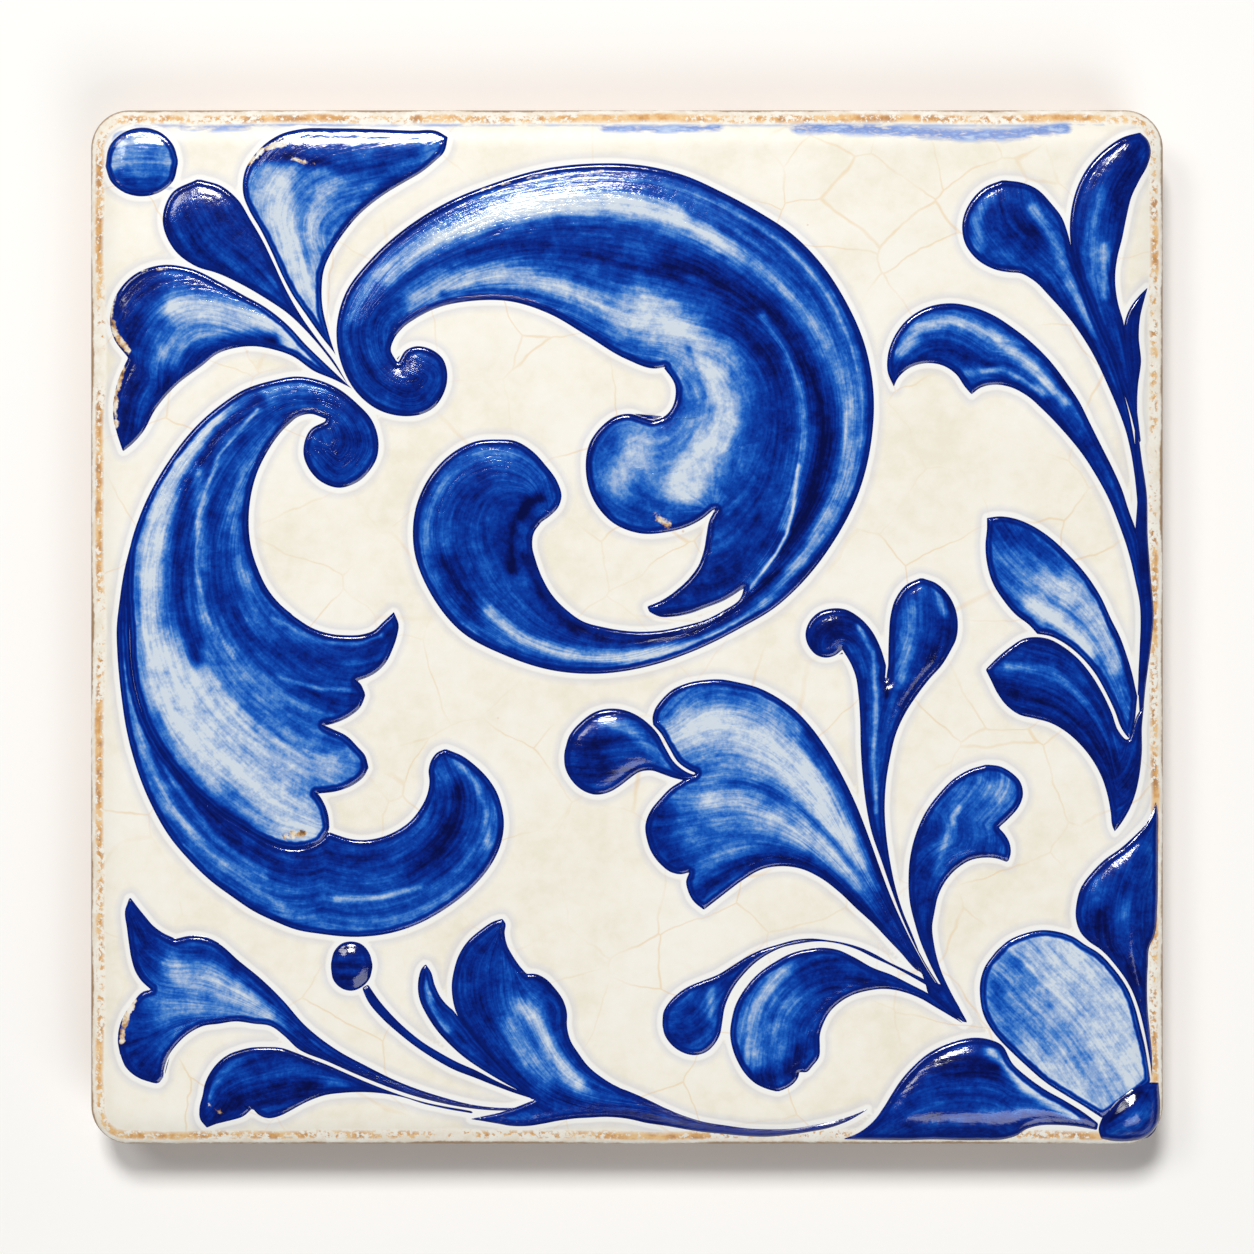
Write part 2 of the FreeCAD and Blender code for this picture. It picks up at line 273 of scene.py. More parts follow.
         55, 11.8, 52.5, 13.4, 50.5, 14.2, 48.5, 14.5, 46.8, 14.3],
        [66.2, -12, 65.3, -14.6, 64.3, -13.4, 63.3, -10.9, 62.1, -8.4, 60.7, -6, 58.8, -3.8, 56.8, -2.2,
         55, -1.3, 53.3, -1, 53.3, -1, 52.2, 0.2, 50.5, 1.5, 48.8, 3.5, 47.5, 5.6, 46.7, 8.3, 46.5, 10.7,
         46.7, 12.9, 46.7, 14],
        [64.2, -1.2, 63.3, -10.9, 59.8, 6.9, 56.8, -2.2, 55, 11.8, 50.5, 1.5],
    ),
    (
        "double_lower", "leaf",
        [67.2, -10, 66.2, -11.5, 64.9, -14.5, 64.1, -13.6, 63.1, -11, 61.9, -8.5, 60.5, -6.2, 58.7, -4,
         56.7, -2.4, 55, -1.5, 53.3, -1.2, 51.6, -1.4, 49.8, -2.5, 48.2, -3.8, 46.7, -5.3],
        [67.4, -10.2, 67.1, -13.1, 67.1, -16.2, 66.8, -19.1, 66.2, -21.8, 65.2, -24.2, 64.2, -25.8,
         63.4, -26.8, 63.4, -26.8, 63, -25.9, 62.8, -24.2, 62.4, -22, 61.6, -19.5, 60.4, -17.3,
         58.8, -15.3, 57, -13.7, 55.1, -12.6, 53, -12, 51, -11.5, 49.3, -10.3, 48.1, -8.7, 47.2, -6.9,
         46.6, -5.7],
        [64.9, -14.5, 66.8, -19.1, 64.1, -13.6, 62.9, -25, 61.9, -8.5, 60.4, -17.3, 56.7, -2.4,
         55.1, -12.6, 51.6, -1.4, 49.3, -10.3],
    ),
    # The ball in the upper left corner.
    (
        "corner_ball", "ball",
        [-68, 60.1, -67.5, 62.5, -65.8, 64.3, -63.1, 65.1, -60.4, 64.3, -58.8, 62.5, -58.3, 60.8],
        [-68, 59.9, -67.3, 58, -65.6, 56.5, -63.1, 55.9, -60.6, 56.5, -58.9, 58, -58.3, 60.2],
        [-67.5, 62.5, -67.3, 58, -63.1, 65.1, -63.1, 55.9, -58.8, 62.5, -58.9, 58],
    ),
    # The spray that grows from the rosette towards the middle.
    (
        "central_curl", "ball",
        [10, -19.4, 7.9, -18.8, 6.3, -17.6, 5.1, -15.7, 4, -13.7, 3.2, -12.8, 1.7, -11.6, 0, -10.8,
         -1.8, -10.5, -4.1, -10.9, -6, -12.2, -7.6, -14.1, -8.2, -16],
        [9.9, -19.7, 7.2, -20, 5.9, -19.7, 4.5, -19.2, 3.3, -18.8, 1.6, -19, 0.4, -19.8, -0.9, -20.8,
         -2.3, -21.6, -4.2, -21.9, -5.9, -21.3, -7.3, -20, -8.2, -18.1, -8.3, -16.8],
        [5.1, -15.7, 3.3, -18.8, 3.2, -12.8, 1.6, -19, -1.8, -10.5, -2.3, -21.6, -6, -12.2, -7.3, -20],
    ),
    (
        "central_leaf", "upper_lobe",
        [3.3, -12.8, 3.2, -11.9, 3.5, -10.7, 4.4, -9.4, 5.8, -8.1, 7.8, -7.2, 9.9, -6.8, 12.1, -6.7,
         14.5, -7.1, 17.1, -7.8, 19.5, -9, 22, -10.8, 23.9, -12.8, 25.8, -15.4, 27.5, -18.2, 29, -21.1,
         30.3, -24, 31.6, -27.4, 33, -31.3, 34.2, -34.5, 36, -38.6, 38.6, -43.6, 43.9, -51.4],
        [3.5, -13, 4.3, -13.9, 5.4, -15.8, 6.6, -17.7, 8, -18.7, 10, -19.4, 14, -19.5, 18, -21, 22.5, -24,
         26.5, -28, 30, -33, 33.5, -38.5, 38, -44.8, 43.7, -51.6],
        [5.8, -8.1, 4.3, -13.9, 14.5, -7.1, 10, -19.4, 25.8, -15.4, 18, -21, 33, -31.3, 30, -33],
    ),
    (
        "central_leaf", "lower_lobe",
        [7.2, -19.8, 10, -18.5, 14, -17.5, 19, -18.5, 24, -22, 28, -26.5, 32, -32.5, 35.5, -38.5,
         38.6, -44],
        [7, -20, 5.7, -20.8, 4.3, -22.2, 2.9, -24, 2.3, -25.8, 2.5, -27.6, 3.1, -29.3, 4.3, -30.9,
         5.8, -32, 7.4, -32.2, 8, -32, 8, -32, 7.6, -33, 7.8, -34.2, 8.5, -35.6, 10, -36.9, 10, -36.9,
         11.3, -35.9, 13.1, -34.5, 15.1, -33, 17.6, -31.6, 20, -31.2, 22.5, -31.5, 25.1, -32.7,
         27.5, -34.5, 29.8, -36.7, 32, -38.7, 33.7, -40.5, 35.6, -42.5, 37.5, -44.6, 38.5, -45.3],
        [10, -18.5, 2.9, -24, 14, -17.5, 8, -32, 17.5, -18, 10, -36.9, 24, -22, 17.6, -31.6, 32, -32.5,
         27.5, -34.5],
    ),
    (
        "curl_stem", "ball",
        [28, -3.1, 27.1, -3.8, 25.9, -4.1, 24.7, -3.8, 23.6, -2.7, 23.1, -1.1, 23.6, 0.7, 24.9, 2,
         26.5, 2.5, 28.4, 2.4, 30.2, 1.4, 31.9, -0.4, 33, -2.5, 33.8, -5, 33.8, -5, 33.5, -9, 32.8, -14,
         32.4, -20, 32.6, -26, 34, -32, 36, -38, 38.5, -43, 43.8, -51],
        [28.1, -3.3, 28.9, -4.6, 29.6, -6.3, 30, -9, 30.2, -12.1, 30.3, -16, 30.6, -20.1, 31, -23.3,
         31.7, -26.7, 33, -30.5, 34.2, -34, 35.8, -38.2, 38.3, -43.4, 43.6, -51.3],
        [33, -2.5, 28.7, -4.3, 33.5, -9, 30, -9, 32.6, -26, 31.7, -26.7],
    ),
    (
        "curl_stem", "drop",
        [38, 6.4, 36.2, 5.5, 34.9, 3.8, 34.2, 1.4, 34, -1.1, 33.9, -5, 33.9, -5, 33.3, -9, 32.5, -14,
         32, -20, 32.2, -26, 33.6, -31.5, 36, -38.2, 38.3, -43, 43.8, -51],
        [38.6, 6.4, 40.2, 5.8, 41.8, 4.3, 42.8, 2.3, 43.1, 0.3, 42.8, -1.8, 42.2, -3, 41, -5, 39.3, -6.9,
         37.7, -9, 36.4, -11, 35.1, -13.8, 34.3, -17, 33.8, -20, 33.6, -23.5, 33.8, -27, 34.3, -30.5,
         35.2, -34.6, 36, -37.1, 37, -39.5, 38.7, -43.6, 43.9, -51.2],
        [34.9, 3.8, 41.8, 4.3, 34, -1.1, 42.8, -1.8, 33.9, -5, 39.3, -6.9, 33.3, -9, 36.4, -11, 32, -20,
         33.8, -20, 36, -38.2, 36, -37.1],
    ),
    (
        "heart_leaf", "leaf",
        [44, -51.6, 42.6, -49.6, 39.9, -45.1, 38.9, -43, 38, -40.8, 37.3, -38.5, 36.7, -36, 36.5, -32.5,
         36.8, -29.4, 37.6, -26.5, 38.8, -23.9, 40.5, -21.6, 42.5, -19.6, 44.6, -18.4, 46.6, -17.8],
        [44.4, -51.4, 43.9, -50.5, 42.9, -48.7, 41.9, -46.8, 41, -44.8, 40.4, -42.9, 40, -41, 39.8, -39,
         40.1, -37.1, 40.6, -34.9, 41.6, -33, 43.1, -31.4, 44.8, -30.4, 46.8, -30.1, 48.5, -30.3,
         49.6, -30.7, 49.6, -30.7, 50, -29.5, 49.9, -28.2, 49.3, -27, 48.5, -26.1, 48.5, -26.1,
         49.9, -24.8, 51, -23.5, 51.6, -21.8, 51.3, -20.2, 50, -18.8, 48.5, -18, 47.1, -17.8],
        [36.7, -36, 40.1, -37.1, 36.6, -31, 43.1, -31.4, 37.6, -26.5, 49.6, -30.7, 38.8, -23.9,
         48.5, -26.1, 42.5, -19.6, 51.6, -21.8],
    ),
    (
        "lower_drop", "drop",
        [42.6, -49.8, 39.5, -47.1, 37, -45.6, 34.4, -44.2, 32, -43.1, 30, -42.1, 27.5, -41.3, 25, -41,
         22.4, -41.3, 20.2, -41.8, 18.3, -42.7, 16.6, -43.9, 15.4, -45.1, 14.4, -46.3, 13.4, -48,
         12.8, -49.6, 12.5, -51.4, 12.2, -53, 11.5, -54.3, 10.3, -55.4, 8.7, -55.8, 7.1, -55.4, 5.8, -54.5,
         4.8, -53.1, 4.5, -51.9],
        [42.8, -49.5, 39, -45.9, 36.9, -44.8, 34, -43.4, 32.4, -42.5, 30.7, -41.7, 28.4, -41, 26, -40.6,
         24, -40.4, 21.8, -40.6, 19.6, -41.2, 17.6, -41.8, 15.5, -42.8, 13.6, -44, 11.8, -45.1, 9.8, -45.9,
         7.9, -46.7, 6.3, -47.8, 5.2, -49, 4.6, -50.2, 4.5, -51.2],
        [25, -41, 24, -40.4, 15.4, -45.1, 13.6, -44, 12.8, -49.6, 9.8, -45.9, 10.3, -55.4, 6.3, -47.8],
    ),
    (
        "petal_leaf", "leaf",
        [43.8, -51.5, 39.3, -47.6, 36.8, -46.3, 34.4, -45.1, 32, -44.2, 29.5, -42.8, 27.5, -41.9,
         25.4, -41.6, 23.4, -41.8, 21.2, -42.4, 19.3, -43.4, 17.5, -44.6, 16.1, -45.9, 14.9, -47.5,
         14, -49.2, 13.5, -51.1, 13.3, -52.8, 13.6, -54.8, 14.3, -56.6, 15.3, -58.2, 16.7, -59.5,
         18.2, -60.2, 19.3, -60.5],
        [43.9, -51.8, 42.2, -50.8, 40, -49.5, 38.1, -48.4, 36, -47.6, 33.9, -47.2, 30.9, -47.5, 29.3, -48,
         27.9, -48.8, 26.5, -50.1, 25.7, -51.5, 25.2, -53.1, 25.2, -54.5, 25.1, -55.9, 24.2, -57.2,
         23.4, -58, 22.5, -58, 22.5, -58, 22.4, -58.5, 21.8, -59.4, 20.8, -60.1, 19.8, -60.5],
        [34.4, -45.1, 33.9, -47.2, 27.5, -41.9, 27.9, -48.8, 14.9, -47.5, 25.2, -53.1, 14.3, -56.6,
         23.4, -58],
    ),
    # The spray along the lower edge.
    (
        "leaf_a", "leaf",
        [-12, -62, -14.5, -62.4, -16.9, -62.4, -19.6, -62.1, -24.4, -60.9, -29.5, -59.1, -34, -56.9,
         -37.5, -55, -41.8, -51.7, -44.7, -48.4, -47.7, -45.5, -50.3, -43.4, -53, -41.1, -54.4, -40.4,
         -55.5, -40.2],
        [-12, -62.6, -16, -63, -19.6, -62.8, -27, -61.3, -34, -58.8, -39, -56.6, -42.9, -54.9,
         -44.6, -53.3, -46.4, -52, -48.5, -51.7, -51, -51.4, -53, -51.7, -55.1, -52, -57, -53,
         -58.4, -54.3, -59.6, -56, -60.1, -57.5, -60.2, -58.6, -60.2, -58.6, -60.9, -59.4, -62.3, -59.2,
         -63.8, -58.6, -65.2, -57.4, -66, -55.6, -66.3, -53.8, -66, -51.7],
        [-34, -56.9, -34, -58.8, -44.7, -48.4, -46.4, -52, -51.8, -42.1, -55.1, -52, -55.2, -40.3,
         -60.2, -58.6],
    ),
    (
        "leaf_a", "shoulder",
        [-66, -55.6, -66.3, -53.8, -66, -51.7, -65.2, -50, -64.1, -48.5, -62.9, -47.3, -62, -47.1],
        [-62.3, -55.2, -61.8, -53, -61, -51, -60, -49.3, -59.2, -48, -58.6, -47],
        [],
    ),
    (
        "leaf_a", "blade",
        [-53, -41.1, -54.7, -40.3, -56.6, -40.1, -58.7, -40.5, -58.7, -40.5, -60.4, -39.7, -61.5, -38.9,
         -62.8, -37.4, -64.5, -35.2],
        [-59, -50, -60.5, -48.6, -62, -47.1, -62, -47.1, -63.1, -46.1, -63.9, -44.9, -64.5, -43,
         -64.8, -41.2, -65.1, -38.9, -65.3, -37, -64.8, -35.3],
        [-58.7, -40.5, -62, -47.1],
    ),
    (
        "leaf_b", "leaf",
        [-54.8, -65.2, -55.6, -64.1, -55.7, -62.5, -55.3, -60.9, -55, -59.4, -54.3, -57.9, -53.1, -56.4,
         -51.7, -55.4, -50.6, -55, -49, -54.6, -47, -54.5, -45, -54.6, -42.9, -55.3, -41.1, -56,
         -39, -56.8, -36.5, -57.9, -34, -59, -27, -61.5, -20, -62.9],
        [-54.5, -65.2, -53.5, -64.8, -51.6, -64.3, -49.8, -63.7, -48.7, -62.7, -48.7, -62.7, -48, -63.5,
         -46.7, -64, -45.2, -63.7, -43.4, -62.8, -41.5, -61.8, -39.3, -61, -37, -60.7, -34, -60.6,
         -31.5, -60.8, -29, -61.3, -26.5, -62.1, -23.9, -62.7, -20, -63.4],
        [-55, -59.4, -48.7, -62.7, -49, -54.6, -45.2, -63.7, -36.5, -57.9, -34, -60.6],
    ),
    (
        "berry", "ball",
        [-38.6, -43.7, -38.2, -42.2, -37.2, -41.1, -35.8, -40.8, -34.4, -41.2, -33.4, -42.4, -33, -43.8],
        [-38.6, -44.4, -38.3, -45.9, -37.3, -47, -35.8, -47.4, -34.4, -46.9, -33.4, -45.8, -33, -44.4],
        [-38.2, -42.2, -38.3, -45.9, -35.8, -40.8, -35.8, -47.4, -33.4, -42.4, -33.4, -45.8],
    ),
    (
        "berry_stem", "stem",
        [-34.6, -46.9, -33.8, -48.7, -31.9, -51, -29.9, -52.8, -27.5, -54.7, -24.9, -56.4, -22.5, -57.7,
         -19.9, -58.7, -17.4, -59.7, -15, -60.6, -11.2, -61.8],
        [-33.6, -46.4, -32.3, -48.3, -30.5, -50.4, -28.4, -52.4, -26.5, -53.9, -24.4, -55.2, -22, -56.5,
         -19.5, -57.6, -17, -58.9, -15, -59.8, -11, -61.3],
        [-24.9, -56.4, -24.4, -55.2],
    ),
    (
        "leaf_c", "leaf",
        [-12.5, -61.5, -15, -59, -18, -56, -20.8, -52.6, -22.3, -50.2, -22.8, -48.2, -22.9, -46.5,
         -22.6, -44.6, -22, -42.7, -20.8, -40.8, -19.1, -39.3, -17.2, -38.1, -16.5, -37.9],
        [1.5, -61, -1.4, -59.6, -2.9, -58.7, -5, -57, -6.2, -55.4, -7.3, -53.6, -7.7, -51.9, -7.7, -50.2,
         -8.2, -48.5, -9.3, -46.9, -10.6, -45.6, -11.9, -45, -13, -45, -13, -45, -13.8, -44.1,
         -14.7, -42.8, -15.5, -41.3, -15.8, -39.8, -15.7, -38.5, -16.1, -37.9],
        [-18, -56, -6.2, -55.4, -22.8, -48.2, -9.3, -46.9, -22.6, -44.6, -13, -45],
    ),
    (
        "leaf_c", "tail",
        [-20.4, -64.1, -18.6, -64.4, -16.9, -64.7, -15.2, -65, -12.8, -65, -10.9, -64.7, -8.9, -64.3,
         -6.7, -64, -5, -63.9, -2.4, -63.8, 0.4, -64.1, 2.5, -64.6, 5, -65, 9.6, -65.8, 12.5, -66.1,
         15.4, -66.4, 18.3, -66.5, 21.4, -66.2, 23.9, -65.8, 26.3, -65.3, 28.7, -64.4, 31.4, -62.8],
        [-20.3, -63.9, -16, -62.9, -12.5, -61.6, -9, -60.2, -4, -59, 0.2, -60.3, 2.5, -61.3, 5, -62.5,
         7.4, -63.5, 10, -64.3, 13, -64.8, 15.9, -65.2, 18.8, -65.3, 21.7, -65.2, 24.6, -64.7, 27.3, -64.1,
         29.7, -63.3, 31.3, -62.6],
        [-12.8, -65, -12.5, -61.6, -2.4, -63.8, 0.2, -60.3, 9.6, -65.8, 10, -64.3],
    ),
    (
        "side_blade", "leaf",
        [-12.5, -61.3, -17.2, -58.7, -19.3, -57.4, -21.3, -56, -23.2, -54.3, -24.9, -52.4, -26.2, -50.4,
         -27, -48.7, -27.3, -47.1, -27.2, -45.6, -26.7, -44.2, -26.3, -43.8],
        [-12.2, -61, -15.5, -57.9, -18.4, -54.9, -20.9, -51.8, -22.6, -49.7, -22.6, -49.7, -23.2, -49.2,
         -24.2, -48, -24.9, -46.5, -25.4, -44.8, -26, -43.9],
        [-19.3, -57.4, -18.4, -54.9, -26.2, -50.4, -23.2, -49.2],
    ),
    # The quarter of the rosette in the lower right corner.
    (
        "pale_petal", "petal",
        [61.8, -64, 59.5, -62.5, 57, -61, 54.5, -59.4, 51.8, -57.1, 50.1, -55.5, 48.5, -53.9, 47.3, -52.4,
         46.2, -50.3, 45.8, -48.2, 45.8, -46.3, 46.4, -44.2, 47.8, -42.2],
        [68.3, -59.2, 67.9, -56.7, 67.5, -54.5, 66.9, -52.1, 66.2, -49.5, 65.1, -46.8, 63.5, -44.5,
         61.4, -42.3, 59.6, -41.2, 58.1, -40.2, 56, -39.5, 53.9, -39.3, 51.5, -39.8, 49.5, -40.7,
         48.3, -41.7],
        [54.5, -59.4, 66.2, -49.5, 48.5, -53.9, 61.4, -42.3, 45.8, -48.2, 56, -39.5],
    ),
    (
        "upper_petal", "petal",
        [68.3, -58.7, 68, -56.7, 67.6, -54.5, 67.1, -52.1, 66.4, -49.5, 65.3, -46.8, 63.7, -44.4,
         61.6, -42.1, 59.9, -40.9, 58.9, -39.8, 58.3, -38.1, 58.4, -35.7, 59, -33.7, 60.4, -31.8,
         62, -30.2, 64.1, -28.7, 65.9, -27.1, 67.3, -25.7, 68.4, -23.9, 68.8, -22.7],
        [68.5, -58.7, 68.5, -55.9, 68.2, -52.8, 67.9, -49.9, 67.8, -47, 67.9, -44.1, 68.1, -41.7,
         68.8, -40.2, 69.2, -36.6, 69.3, -32, 69.3, -28, 69.2, -23.6, 69, -22.7],
        [67.6, -54.5, 68.5, -55.9, 65.3, -46.8, 67.8, -47, 59.9, -40.9, 68.1, -41.7, 58.4, -35.7,
         69.2, -36.6, 64.1, -28.7, 69.3, -28],
    ),
    (
        "lower_petal", "petal",
        [61.4, -64.5, 59.4, -63, 57, -61.5, 54.5, -60.1, 52.1, -58.4, 50.3, -56.8, 48.7, -54.2, 47, -53.5,
         45.2, -53.3, 42.9, -53.7, 40.7, -54.5, 38.8, -55.6, 37.1, -57.1, 35.6, -58.8, 34.4, -60.6,
         33.3, -62.4, 32, -64.2, 29.9, -65.9, 28.2, -66.6],
        [61.2, -65.6, 58.5, -65.1, 56, -64.9, 53.6, -65, 51.8, -65.6, 50.9, -66.3, 49.5, -66.8, 46, -67,
         43, -67, 40, -66.9, 37, -67, 34, -67, 28.3, -66.9],
        [54.5, -60.1, 53.6, -65, 47, -53.5, 46, -67, 38.8, -55.6, 37, -67, 33.3, -62.4, 32, -67],
    ),
    # The wedge in which the stems of the middle spray end.
    (
        "stem_joint", "wedge",
        [38.2, -45, 38.7, -46.4, 39.1, -47.8, 40.2, -49, 41.5, -50, 42.8, -50.9, 43.8, -51.5],
        [38.6, -45, 39.6, -45.9, 40.6, -46.3, 41.6, -46.7, 42.2, -47.6, 43.3, -49.4, 44.15, -51.4],
        [],
    ),
    # The boss of the rosette.
    (
        "boss", "dome",
        [61.6, -66.5, 61.3, -65.6, 61.8, -63.6, 62.9, -61.9, 64.4, -60.5, 66.4, -59.4, 68.4, -59.2,
         69.3, -59.3],
        [61.9, -66.8, 63.3, -67.1, 65.9, -67.1, 68.4, -66.5, 69.3, -65.2, 69.6, -63.3, 69.5, -60.6,
         69.4, -59.6],
        [61.8, -63.6, 65.9, -67.1, 64.4, -60.5, 69.3, -65.2],
    ),
]

# Tone of each group's first wash: 0 is nearly black blue, 0.45 cobalt and 1 the palest blue.
BASE_TONES = {
    "palmette_drop": 0.25, "palmette_upper": 0.58, "palmette_left": 0.38, "corner_ball": 0.58,
    "left_leaf": 0.42, "left_tail": 0.42, "big_scroll": 0.4, "upper_drop": 0.36, "blade_leaf": 0.34,
    "right_stem": 0.2, "scallop_leaf": 0.42, "double_upper": 0.56, "double_lower": 0.3,
    "central_curl": 0.34, "central_leaf": 0.58, "curl_stem": 0.36, "heart_leaf": 0.45,
    "lower_drop": 0.34, "petal_leaf": 0.44, "leaf_a": 0.45, "leaf_b": 0.26, "berry": 0.22,
    "berry_stem": 0.24, "leaf_c": 0.38, "side_blade": 0.5, "stem_joint": 0.2, "pale_petal": 0.82,
    "upper_petal": 0.34, "lower_petal": 0.28, "boss": 0.36,
}
